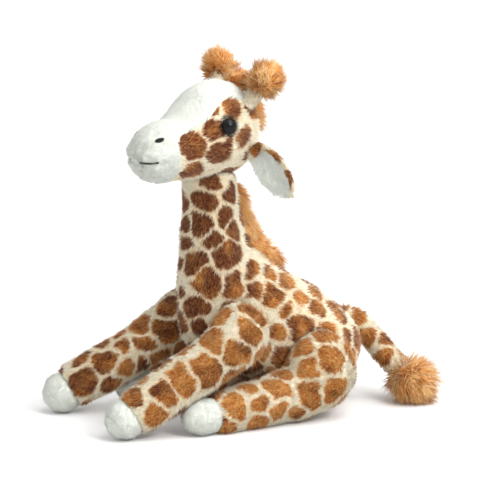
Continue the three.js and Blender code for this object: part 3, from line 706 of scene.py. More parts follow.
# Forward and height of the top line, the same of the underside, and half width, as shares
BODY_SHARES = np.array([
    [-0.366, 0.25, -0.366, 0.25, 0], [-0.353, 0.31, -0.346, 0.176, 0.34],
    [-0.32, 0.363, -0.298, 0.077, 0.58], [-0.25, 0.418, -0.218, 0.013, 0.82],
    [-0.138, 0.494, -0.1, -0.004, 0.985], [0, 0.564, 0.062, -0.0005, 0.945],
    [0.1, 0.619, 0.215, 0.109, 0.806], [0.185, 0.686, 0.362, 0.199, 0.667],
    [0.246, 0.756, 0.515, 0.263, 0.583], [0.281, 0.827, 0.604, 0.385, 0.569],
    [0.296, 0.891, 0.604, 0.59, 0.556], [0.312, 0.949, 0.592, 0.801, 0.519],
    [0.317, 1, 0.583, 1, 0.4806], [0.33, 1.03, 0.57, 1.03, 0.44], [0.37, 1.05, 0.53, 1.05, 0.3],
    [0.45, 1.055, 0.45, 1.055, 0],
])
# Forward, top, underside and half width, as shares of the head
HEAD_SHARES = np.array([
    [-0.335, 0.472, 0.472, 0], [-0.32, 0.667, 0.26, 0.4], [-0.27, 0.837, 0.106, 0.69],
    [-0.169, 0.951, 0.016, 0.88], [-0.032, 0.99, 0, 1], [0.106, 0.937, 0, 0.98],
    [0.225, 0.79, 0.008, 0.904], [0.33, 0.668, 0.016, 0.81], [0.43, 0.65, 0.02, 0.75],
    [0.51, 0.612, 0.042, 0.685], [0.578, 0.53, 0.09, 0.56], [0.618, 0.425, 0.18, 0.33],
    [0.632, 0.3, 0.3, 0],
])
# Share of the way down a leg, with the half height and half width there as shares of its radius
FRONT_TAPER = np.array([
    [0, 1, 0.8], [0.12, 0.97, 0.86], [0.25, 0.88, 0.84], [0.4, 0.77, 0.77], [0.6, 0.726, 0.726],
    [0.8, 0.709, 0.709], [1, 0.697, 0.697],
])
HIND_TAPER = np.array([
    [0, 1, 1], [0.14, 0.98, 0.98], [0.3, 0.84, 0.84], [0.46, 0.73, 0.73], [0.66, 0.64, 0.64],
    [0.84, 0.58, 0.58], [1, 0.545, 0.545],
])
# Share of the way down the ear, half width and thickness
EAR_SHARES = np.array([
    [0, 0.5, 0.9], [0.15, 0.78, 1], [0.35, 0.98, 1], [0.55, 1, 0.95], [0.75, 0.82, 0.85],
    [0.9, 0.5, 0.7], [1, 0, 0.3],
])
# Forward and half width of the white blaze, as shares of the head
BLAZE_SHARES = np.array([
    [-0.18, 0.63], [-0.1, 0.632], [0, 0.63], [0.08, 0.68], [0.15, 0.72], [0.21, 0.69], [0.27, 0.62],
    [0.33, 0.54], [0.365, 0.53], [0.4, 0.66],
])
# How far the tail has gone back, aside and down
TAIL_SHARES = np.array([
    [0, 0, 0], [0.31, 0.1, 0.06], [0.54, 0.31, 0.3], [0.77, 0.6, 0.64], [0.93, 0.86, 0.87], [1, 1, 1],
])
# Forward place on the head, and height as a share from its middle to its top
CREST_SHARES = np.array([[0.27, 1], [0.22, 1], [0.16, 1], [0.1, 1], [0, 0], [0.1, -0.5]])
SIDES = ((1.0, "left"), (-1.0, "right"))
NECK = ("torso", "head")
INSET = 1.5
HAIR_LOW, HAIR_TOP = 0.4, 163.0
EYE_RADIUS, EYE_HEIGHT = 5.45, 4.7
EYE_SHANK = np.array([
    [EYE_RADIUS, 0], [5.2, -0.1], [4.7, -0.1], [1.7, -0.2], [1.6, -0.5], [1.6, -5.8], [1.2, -6.3], [0, -6.4],
])
TAIL_TOP = 55.5
MOUTH_TURN = 66.0

# Patches that the photograph shows: pixel across, pixel down and pixel radius
TORSO_MARKS = np.array([
    (186, 199, 8), (207, 200, 12), (210, 182, 8), (230, 192, 7), (226, 213, 7), (203, 223, 13),
    (213, 236, 10), (187, 223, 6), (233, 231, 6), (187, 243, 7), (195, 258, 10), (183, 262, 5),
    (228, 252, 14), (251, 268, 7), (209, 281, 14), (234, 286, 12), (252, 289, 8), (267, 272, 7),
    (287, 283, 9), (196, 305, 12), (183, 292, 5), (183, 321, 8), (199, 325, 7), (271, 294, 9),
    (298, 297, 9), (313, 292, 7), (316, 307, 8), (285, 310, 6), (300, 325, 12), (321, 331, 10),
    (336, 312, 10), (342, 303, 8), (346, 336, 8), (276, 331, 7), (284, 356, 10), (350, 357, 8),
], dtype=float)
NEAR_FRONT_MARKS = np.array([
    (219, 317, 11), (256, 312, 12), (252, 333, 12), (212, 339, 9), (240, 352, 14), (207, 368, 15),
    (187, 350, 7), (262, 354, 7), (183, 380, 13), (168, 393, 11), (142, 379, 8), (133, 395, 9),
    (160, 411, 11), (235, 377, 10),
], dtype=float)
FAR_FRONT_MARKS = np.array([
    (168, 304, 8), (168, 332, 12), (141, 326, 10), (144, 342, 9), (124, 346, 6), (103, 343, 8),
    (122, 334, 6), (104, 362, 12), (83, 359, 8), (85, 382, 11), (127, 368, 8), (112, 384, 7),
    (144, 364, 7), (160, 356, 8), (85, 403, 5),
], dtype=float)
NEAR_HIND_MARKS = np.array([
    (236, 405, 13), (250, 388, 7), (260, 404, 8), (258, 422, 8), (278, 389, 12), (280, 410, 9),
    (297, 411, 7), (283, 374, 8), (309, 368, 10), (312, 395, 12), (334, 389, 11), (329, 357, 14),
    (303, 347, 9),
], dtype=float)
HEAD_MARKS = np.array([
    (193, 145, 13), (214, 130, 9), (219, 152, 10), (191, 172, 9), (221, 172, 10), (242, 139, 9),
    (231, 106, 10), (250, 110, 8), (245, 155, 5), (215, 110, 4), (197, 119, 3),
], dtype=float)
EAR_MARKS = np.array([(257, 148, 7), (272, 158, 7), (287, 180, 6)], dtype=float)
TAIL_MARKS = np.array([
    (342, 306, 6), (358, 315, 7), (365, 336, 8), (386, 340, 7), (384, 358, 9), (402, 354, 5),
], dtype=float)


# Torso and neck

@dataclass
class Torso:
    """The torso and neck: rings that stand square to the back line, from the rump to inside the head."""

    length: float = 130.0
    height: float = 156.0
    half_width: float = 36.0
    rows: int = 170
    columns: int = 132

    def rings(self, shares: Array, inset: float = INSET) -> tuple[Array, Array, Array, Array]:
        """The rings' middles, up directions, half heights and half widths."""
        top_f, top_h, low_f, low_h, width = spline_rows(BODY_SHARES, shares).T
        top = np.stack([0 * top_f, -top_f * self.length, top_h * self.height], axis=-1)
        low = np.stack([0 * low_f, -low_f * self.length, low_h * self.height], axis=-1)
        reach = np.linalg.norm(top - low, axis=1) / 2
        middle = (top + low) / 2
        middle[0, 1] -= inset
        wide = np.maximum(width * self.half_width - inset, 0)
        return middle, unit(top - low), np.maximum(reach - inset, 0), wide

    def skin(self, dents: list[AtPoints]) -> Skin:
        """The skin: middle + up h cos(a) + side w sin(a), drawn in where the legs seat."""
        shares = np.linspace(0, 1, self.rows)
        middle, rise, reach, width = self.rings(shares)
        rise[0], rise[-1] = rise[1], rise[-2]
        reach[[0, -1]] = 0
        width[[0, -1]] = 0
        aside = np.broadcast_to([1.0, 0, 0], rise.shape)
        points = rings_round(middle, rise, reach, aside, width, self.columns)
        skin = Skin(points, -1.0)
        lumps = 0.55 * wave_noise(points.reshape(-1, 3), 34.0, 21)[:, 0].reshape(points.shape[:2])
        points = skin.moved(lumps).points
        for dent in dents:
            points = dent(points)
        return Skin(grounded(points), -1.0)

    def depth(self, points: Array) -> Array:
        """How far out places lie in the torso: the least over the rings near them of the elliptic radius."""
        middle, rise, reach, width = self.rings(np.linspace(0.02, 0.96, 90))
        along = np.cross(rise, [1.0, 0, 0])
        best = np.full(len(points), OUTSIDE)
        for m, r, a, h, w in zip(middle, rise, along, reach, width):
            off = points - m
            near = np.abs(off @ a) < 2.6
            value = np.hypot(off[:, 0] / w, off @ r / h)
            best = np.where(near, np.minimum(best, value), best)
        return best


# Legs

def pinched(rows: Array, middles: Array, way: Array, width: float, depth: float) -> Array:
    """The rows, drawn towards their middles by a share, most where the way to the seam is 0."""
    near_seam = np.exp(-(way / width) ** 2)[:, None, None]
    return rows + (middles[:, None] - rows) * near_seam * depth


@dataclass
class Leg:
    """A leg: a surface round the leg's axis whose reach is the smooth maximum of its root, tube and hoof.

    Its reach is (a^k + b^k + c^k)^(1/k), with a, b and c the ways from the axis to the root's ellipsoid,
    the tapered tube and the hoof's ball. At both ends the directions tilt round to the axis.
    """

    name: str
    side: float
    root: Array
    root_radii: Array
    start: Array
    end: Array
    taper: Array
    radius: float
    hoof_radius: float
    hoof_stretch: float
    seam: float
    lying: bool
    columns: int = 84
    power: float = 12.0
    sole: float = 0.0
    sole_width: float = 0.06
    sole_depth: float = 0.03
    hoof_inset: float = 1.4
    seam_gap: float = 0.15
    cuff: float = 2.0
    belly: float = 0.0
    lift: float = 0.0

    def __post_init__(self) -> None:
        """Works out the leg's own directions."""
        self.way = unit(self.end - self.start)
        if self.lying:
            self.way = unit(self.way * [1, 1, 0])
        self.across = unit(np.cross([0, 0, 1.0], self.way))
        self.rise = np.cross(self.way, self.across)
        self.reach = float((self.end - self.start) @ self.way)

    def taper_at(self, shares: Array) -> tuple[Array, Array]:
        """Half height and half width of the tube at shares of its length, softened."""
        fine = np.linspace(-0.2, 1.2, 281)
        kernel = np.exp(-np.linspace(-2, 2, 25) ** 2)
        sharp = [np.interp(fine, self.taper[:, 0], self.taper[:, column]) for column in (1, 2)]
        rows = [np.convolve(row, kernel / kernel.sum(), "same") for row in sharp]
        return tuple(np.interp(shares, fine[12:-12], row[12:-12]) * self.radius for row in rows)

    def surface(self, origins: Array, tilts: Array, shares: Array, inset: float) -> Array:
        """Rows of points round the axis."""
        angle = full_turn(self.columns)
        flat = self.across * np.cos(angle)[:, None] + self.rise * np.sin(angle)[:, None]
        ways = (self.way * np.cos(tilts)[:, None, None] + flat[None] * np.sin(tilts)[:, None, None])
        starts = np.broadcast_to(origins[:, None], ways.shape)
        high, wide = self.taper_at(shares)
        tube = 1 / np.sqrt((np.cos(angle) / wide[:, None]) ** 2 + (np.sin(angle) / high[:, None]) ** 2)
        tube = tube * smoothstep(0.5, 0.95, np.sin(tilts))[:, None]
        root = far_wall(starts, ways, self.root, np.eye(3), self.root_radii)
        axes = np.stack([self.way, self.across, self.rise])
        ball = self.hoof_radius * np.array([self.hoof_stretch, 1, 1])
        hoof = far_wall(starts, ways, self.end, axes, ball)
        together = (tube ** self.power + root ** self.power + hoof ** self.power) ** (1 / self.power)
        return starts + ways * np.maximum(together - inset, 0.0)[..., None]

    def raised(self, rows: Array) -> Array:
        """The rows, with their underside at the root raised by the lift."""
        along = (rows - self.start) @ self.way
        low = np.clip(1 - rows[..., 2] / 26.0, 0, 1)
        rise = self.lift * smoothstep(20.0, -14.0, along) * low
        return rows + rise[..., None] * [0, 0, 1.0]

    def axis(self, ways: Array) -> tuple[Array, Array]:
        """Places on the axis at distances from its start, and their shares of its length."""
        shares = ways / self.reach
        places = self.start + self.way * ways[:, None]
        if self.lying:
            high, _ = self.taper_at(shares)
            places[:, 2] = high - 0.5
        else:
            places[:, 2] = self.start[2] + (self.end[2] - self.start[2]) * shares
        return places, shares

    def cover_skin(self, mend: AtPoints) -> Skin:
        """The plush cover, from the root to the hoof's seam, closed there."""
        tilts = np.linspace(math.pi, math.pi / 2, 30)[:-1]
        start, _ = self.axis(np.zeros(1))
        back = self.surface(np.repeat(start, len(tilts), axis=0), tilts, np.zeros(len(tilts)), INSET)
        ways = np.linspace(0, self.reach - self.seam - self.seam_gap, 84)
        places, shares = self.axis(ways)
        tube = self.surface(places, np.full(len(ways), math.pi / 2), shares, INSET)
        out = unit(tube - places[:, None])
        under = np.clip(-(out @ self.rise), 0, 1)[..., None]
        wider = self.cuff * smoothstep(0.25, 0.65, shares)
        droop = self.belly * np.sin(np.pi * np.clip(shares, 0, 1)) ** 0.7
        tube = tube + out * (wider[:, None, None] + droop[:, None, None] * under)
        tube = pinched(tube, places, ways - ways[-1], width=2.2, depth=0.1)
        rows = np.concatenate([back, tube])
        rows = rows + self._lumps(rows)
        middle = rows[-1].mean(axis=0)
        rows = np.concatenate([rows, (rows[-1:] + middle) / 2, np.broadcast_to(middle, rows[-1:].shape)])
        rows[0] = rows[0].mean(axis=0)
        return Skin(grounded(mend(self.raised(rows))), 1.0)

    def hoof_skin(self) -> Skin:
        """The white hoof cap, from its seam over its rounded end, with the sole's seam drawn in."""
        ways = np.linspace(self.reach - self.seam + self.seam_gap, self.reach, 14)
        places, shares = self.axis(ways)
        if self.lying:
            places[:, 2] = np.interp(ways, ways[[0, -1]], [places[0, 2], self.end[2]])
        tube = self.surface(places, np.full(len(ways), math.pi / 2), shares, self.hoof_inset)
        tube = pinched(tube, places, ways - ways[0], width=1.6, depth=0.08)
        tilts = np.linspace(math.pi / 2, 0, 34)[1:]
        starts = np.repeat(self.end[None], len(tilts), axis=0)
        front = self.surface(starts, tilts, np.ones(len(tilts)), self.hoof_inset)
        if self.sole:
            groove = np.exp(-((tilts - self.sole) / self.sole_width) ** 2)[:, None, None]
            front = front + (self.end - front) * groove * self.sole_depth
        rows = np.concatenate([tube, front])
        middle = rows[0].mean(axis=0)
        rows = np.concatenate([np.broadcast_to(middle, rows[:1].shape), (rows[:1] + middle) / 2, rows])
        rows[-1] = rows[-1].mean(axis=0)
        return Skin(grounded(rows), 1.0)

    def _lumps(self, rows: Array) -> Array:
        """Small swells of the filling, towards and away from the axis."""
        off = rows - rows.mean(axis=1, keepdims=True)
        noise = wave_noise(rows.reshape(-1, 3), 26.0, 31 + int(self.side) * 3 + int(self.lying))[:, 0]
        return unit(off) * noise.reshape(rows.shape[:2])[..., None] * 0.5

    def depth(self, points: Array) -> Array:
        """How far out places lie in the leg: below 1 inside its root or its tube."""
        root = np.linalg.norm((points - self.root) / (self.root_radii - INSET), axis=1)
        along = (points - self.start) @ self.way
        places, shares = self.axis(np.clip(along, 0, self.reach))
        high, wide = self.taper_at(shares)
        off = points - places
        tube = np.hypot(off @ self.across / (wide - INSET), off @ self.rise / (high - INSET))
        tube = np.where((along > -1) & (along < self.reach), tube, OUTSIDE)
        return np.minimum(root, tube)


def pressed(points: Array, most: Array) -> Array:
    """The points, moved in until each lies no further to its side than the most allowed there."""
    over = np.maximum(np.abs(points[..., 0]) - most, 0)
    points = points.copy()
    points[..., 0] -= np.sign(points[..., 0]) * over
    return points


@dataclass
class Legs:
    """The four legs with the seats that they turn in."""

    shoulder: tuple[float, float, float] = (33.0, 57.0, 61.0)
    shoulder_radius: float = 20.5
    swell: float = 15.0
    inner_face: float = 20.5
    drop: float = 2.5
    hip: tuple[float, float, float] = (36.0, -2.5, 28.2)
    hip_radius: float = 23.5

    def ends(self, joint: tuple[float, float, float], side: float, reach: float, drift: float,
             height: float) -> tuple[Array, Array]:
        """The middle of a leg's root and of its hoof."""
        lateral, forward, rise = joint
        root = np.array([side * lateral, -forward, rise])
        return root, np.array([side * (lateral + drift), -(forward + reach), height])

    def front(self, name: str, side: float, reach: float, drift: float) -> Leg:
        """A front leg from its shoulder to its hoof."""
        root, end = self.ends(self.shoulder, side, reach, drift, 13.0)
        near = side > 0
        radii = np.array([self.swell, self.shoulder_radius, self.shoulder_radius])
        radii = radii * ([1, 1, 1] if near else [1, 0.83, 0.83])
        return Leg(
            name, side, root, radii, root - [0, 0, self.drop], end, FRONT_TAPER, radius=17.5,
            hoof_radius=13.4, hoof_stretch=1.0, seam=6.0, lying=False, sole=0.85, cuff=2.0,
            belly=3.4 if near else 2.0)

    def hind(self, name: str, side: float, reach: float, drift: float) -> Leg:
        """A hind leg from its hip to its hoof."""
        root, end = self.ends(self.hip, side, reach, drift, 11.6)
        radii = np.array([self.hip_radius, self.hip_radius, root[2] + 0.5])
        return Leg(
            name, side, root, radii, root * [1, 1, 0] + [0, 0, 20.5], end, HIND_TAPER, radius=21.0,
            hoof_radius=12.0, hoof_stretch=1.2, seam=10.0, lying=True, cuff=1.6, lift=10.0)

    def shoulder_dent(self, points: Array) -> Array:
        """Presses the torso's sides flat where the front legs lie against it."""
        _, forward, height = self.shoulder
        away = np.hypot(points[..., 1] + forward, points[..., 2] - height)
        slack = 12.0 * smoothstep(self.shoulder_radius, self.shoulder_radius + 9, away)
        return pressed(points, self.inner_face - 1.6 + slack)

    def hip_dent(self, points: Array) -> Array:
        """Presses the torso's sides in where the haunches lie against it, round the haunch's ellipsoid."""
        lateral, forward, height = self.hip
        wide = self.hip_radius + 0.8
        share = ((points[..., 1] + forward) / wide) ** 2 + ((points[..., 2] - height) / (height + 1.3)) ** 2
        most = lateral - wide * np.sqrt(np.clip(1 - share, 0, 1))
        return pressed(points, np.where(share < 1, most, 99.0))

    def chest_relief(self, leg: Leg) -> AtPoints:
        """What keeps a front leg's inner face off the chest: flat at the shoulder, sloping away below it."""
        _, forward, height = self.shoulder
        near = self.shoulder_radius + 4.0

        def mend(rows: Array) -> Array:
            """The rows, moved out to the face."""
            away = np.hypot(rows[..., 1] + forward, rows[..., 2] - height)
            slope = (self.shoulder_radius / 2) * np.clip((away - near) / self.shoulder_radius, 0, 1)
            least = np.where(away < near + self.shoulder_radius, self.inner_face + 0.2 - slope, -99.0)
            rows = rows.copy()
            rows[..., 0] = leg.side * np.maximum(leg.side * rows[..., 0], least)
            return rows
        return mend

    def torso_relief(self, leg: Leg, torso: Torso) -> AtPoints:
        """What keeps a hind leg's tube out of the torso: its points move outwards until they are clear."""
        def mend(rows: Array) -> Array:
            """The rows, moved out of the torso."""
            flat = rows.reshape(-1, 3).copy()
            root = np.linalg.norm((flat - leg.root) / leg.root_radii, axis=1)
            inside = (torso.depth(flat) < 1.0) & (root > 0.985)
            low, high = np.zeros(inside.sum()), np.full(inside.sum(), 30.0)
            for _ in range(12):
                middle = (low + high) / 2
                moved = flat[inside] + np.outer(middle, [leg.side, 0, 0])
                clear = torso.depth(moved) >= 1.0
                high = np.where(clear, middle, high)
                low = np.where(clear, low, middle)
            flat[inside] += np.outer(high, [leg.side, 0, 0])
            return flat.reshape(rows.shape)
        return mend


# Head

@dataclass
class Head:
    """The head: upright elliptic rings from the back of the skull to the muzzle, turned a bit sideways."""

    length: float = 94.5
    height: float = 61.5
    rise: float = 4.0
    half_width: float = 26.0
    turn: float = 6.0
    pivot: tuple[float, float, float] = (0.0, -58.5, 156.0)
    rows: int = 170
    columns: int = 150

    def rings(self, shares: Array) -> tuple[Array, Array, Array, Array]:
        """Forward places, middle heights, half heights and half widths, in the head's own frame."""
        forward, top, low, width = spline_rows(HEAD_SHARES, shares).T
        middle = (top + low) / 2 * self.height + self.rise
        return forward * self.length, middle, (top - low) / 2 * self.height, width * self.half_width

    def spin(self, way: int) -> Array:
        """The matrix that turns the head's frame to the part's, or back where the way is -1."""
        c, s = math.cos(math.radians(self.turn)), way * math.sin(math.radians(self.turn))
        return np.array([[c, s, 0], [-s, c, 0], [0, 0, 1]])

    def to_world(self, points: Array) -> Array:
        """Places in the head's frame as places on the part."""
        return points @ self.spin(1) + np.array(self.pivot)

    def turned(self, vectors: Array) -> Array:
        """Directions in the head's frame as directions on the part."""
        return self.to_world(vectors) - np.array(self.pivot)

    def to_own(self, points: Array) -> Array:
        """Places on the part as places in the head's frame."""
        return (points - np.array(self.pivot)) @ self.spin(-1)

    def own_grid(self, inset: Array | float) -> Array:
        """The grid in the head's frame: x = w sin(a), z = middle + h cos(a)."""
        shares = 0.5 - 0.5 * np.cos(np.linspace(0, np.pi, self.rows))
        shares = 0.6 * shares + 0.4 * np.linspace(0, 1, self.rows)
        forward, middle, reach, width = self.rings(shares)
        angle = full_turn(self.columns)
        lateral = np.maximum(width, 0)[:, None] * np.sin(angle)
        height = middle[:, None] + np.maximum(reach, 0)[:, None] * np.cos(angle)
        grid = np.stack([lateral, np.broadcast_to(-forward[:, None], lateral.shape), height], axis=-1)
        return Skin(closed(grid), -1.0).moved(-np.asarray(inset)).points

    def skin(self, inset: Array | float) -> Skin:
        """The head's skin at an inset."""
        return Skin(self.to_world(self.own_grid(inset)), -1.0)

    def depth(self, points: Array) -> Array:
        """How far out places lie in the head's own frame: below 1 inside."""
        forward, middle, reach, width = self.rings(np.linspace(0, 1, 500))
        ahead = -points[..., 1]
        middle, reach, width = (np.interp(ahead, forward, row) for row in (middle, reach, width))
        high = (points[..., 2] - middle) / np.maximum(reach, 1e-3)
        value = np.hypot(points[..., 0] / np.maximum(width, 1e-3), high)
        return np.where((ahead < forward[0]) | (ahead > forward[-1]), OUTSIDE, value)

    def surface_at(self, origins: Array, ways: Array) -> tuple[Array, Array]:
        """Where rays from inside leave the head, by halving, with the normal there."""
        low, high = np.zeros(len(origins)), np.full(len(origins), self.length)
        for _ in range(34):
            middle = (low + high) / 2
            inside = self.depth(origins + ways * middle[:, None]) < 1
            low, high = np.where(inside, middle, low), np.where(inside, high, middle)
        places = origins + ways * low[:, None]
        step = 0.05 * np.eye(3)
        slopes = np.stack([self.depth(places + s) - self.depth(places - s) for s in step], axis=-1)
        return places, unit(slopes)

    def face_share(self, own: Array) -> Array:
        """How far places lie inside the white face's outline, in mm: the muzzle, or the blaze on top."""
        ahead, aside = -own[..., 1], np.abs(own[..., 0])
        half = np.interp(ahead / self.length, *BLAZE_SHARES.T) * self.half_width
        blaze = np.minimum(np.minimum(half - aside, ahead + 17.0), own[..., 2] - 34.0)
        return np.maximum(ahead - 38.5, blaze)


# Ears, horns, manes and tail

@dataclass
class Ear:
    """An ear of two leaves sewn together: the front bulges towards the face, the back away from it."""

    side: float
    forward: float = -18.0
    lateral: float = 26.5
    height: float = 19.5
    length: float = 39.0
    half_width: float = 13.0
    thickness: float = 2.6
    cup: float = 2.5
    split: float = 0.3
    tuck: float = 4.5

    def frame(self, head: Head) -> tuple[Array, Array, Array, Array]:
        """The ear's root and its directions along, out of its face and across, in the head's frame."""
        root = np.array([self.side * self.lateral, -self.forward, self.height + head.rise])
        along = unit(np.array([self.side * 24.5, 9.0, -28.0]))
        turn = math.radians(17.0)
        face = np.array([self.side * math.sin(turn), -math.cos(turn), 0.0])
        face = unit(face - along * (face @ along))
        return root, along, face, unit(np.cross(along, face))

    def leaf(self, head: Head, front: bool, inset: float) -> Skin:
        """One leaf: middle + across w cos(a) + face (t sin(a) + cup cos(a)^2), with a flat inner side."""
        root, along, face, across = self.frame(head)
        shares = 0.5 - 0.5 * np.cos(np.linspace(0, np.pi, 60))
        way, width, thick = spline_rows(EAR_SHARES, shares).T
        angle = full_turn(56)
        width = np.maximum(width, 0) * (self.half_width - inset)
        lift = np.sin(angle)[None] * (thick * (self.thickness - inset))[:, None]
        lift = np.maximum(lift, 0) if front else np.minimum(lift, 0)
        full = np.minimum(np.linspace(0, 1, 60) * 12, 1)[:, None]
        lift = lift * full + (self.cup * width / self.half_width)[:, None] * np.cos(angle) ** 2
        shift = (1 if front else -1) * self.split / 2
        tuck = self.tuck * smoothstep(0.22, 0.0, way)
        middle = root + along * (way * self.length)[:, None] + face * shift
        middle = middle - np.outer(tuck, [self.side, 0, 0])
        aside = across * (width[:, None] * np.cos(angle))[..., None]
        points = middle[:, None] + aside + face * lift[..., None]
        return Skin(head.to_world(closed(points)), 1.0)

    def from_rim(self, head: Head, points: Array) -> Array:
        """How far places lie from the ear's upper, outer rim and from its root, in mm."""
        root, along, _, across = self.frame(head)
        off = head.to_own(points) - root
        width = spline_rows(EAR_SHARES, np.interp(off @ along / self.length, EAR_SHARES[:, 0],
                                                  np.linspace(0, 1, len(EAR_SHARES))))[:, 1]
        return np.minimum(width * self.half_width + self.side * (off @ across), off @ along + 1.6)


def tube_skin(points: Array, radii: Array, columns: int, along: float = 1.0,
              sideways: Optional[Array] = None, flat: Optional[Array] = None) -> Skin:
    """A skin round a line: middle + side r cos(a) + rise r' sin(a), closed at both ends."""
    tangent = unit(np.gradient(points, axis=0))
    level = unit(np.cross(tangent, [0, 0, 1.0]))
    side = level if sideways is None else np.broadcast_to(sideways, points.shape)
    rise = unit(np.cross(side, tangent))
    flat = radii if flat is None else flat
    return Skin(closed(rings_round(points, side, radii, rise, flat, columns)), along)


def ball_skin(centre: Array, radius: float, axis: Array, rows: int = 36, columns: int = 48) -> Skin:
    """A ball whose rows start at the pole that its axis points to."""
    third = unit(np.asarray(axis, dtype=float))
    first = unit(np.cross([0.3, 0.9, 0.2], third))
    tilt = np.linspace(0, np.pi, rows)[:, None]
    angle = full_turn(columns)[None]
    parts = np.stack(np.broadcast_arrays(np.sin(tilt) * np.cos(angle), np.sin(tilt) * np.sin(angle),
                                         np.cos(tilt)), axis=-1)
    points = parts @ np.stack([first, np.cross(third, first), third]) * radius + centre
    return Skin(closed(points), 1.0)


def line_at(points: Array, count: int) -> Array:
    """Evenly spaced places on a smooth line through points."""
    fine = spline_rows(points, np.linspace(0, 1, 400))
    steps = np.concatenate([[0], np.cumsum(np.linalg.norm(np.diff(fine, axis=0), axis=1))])
    even = np.linspace(0, steps[-1], count)
    return np.stack([np.interp(even, steps, fine[:, k]) for k in range(3)], axis=-1)


def neck_tone_and_painted_shade(points: Array) -> Array:
    """How much darker the patches are: on the neck and chest partly their own tone and partly painted shade,
    and under the chin painted shade.
    """
    ahead = -points[:, 1]
    return -0.35 - 0.8 * smoothstep(32, 50, ahead) - 0.4 * smoothstep(146, 162, points[:, 2])


# The whole animal

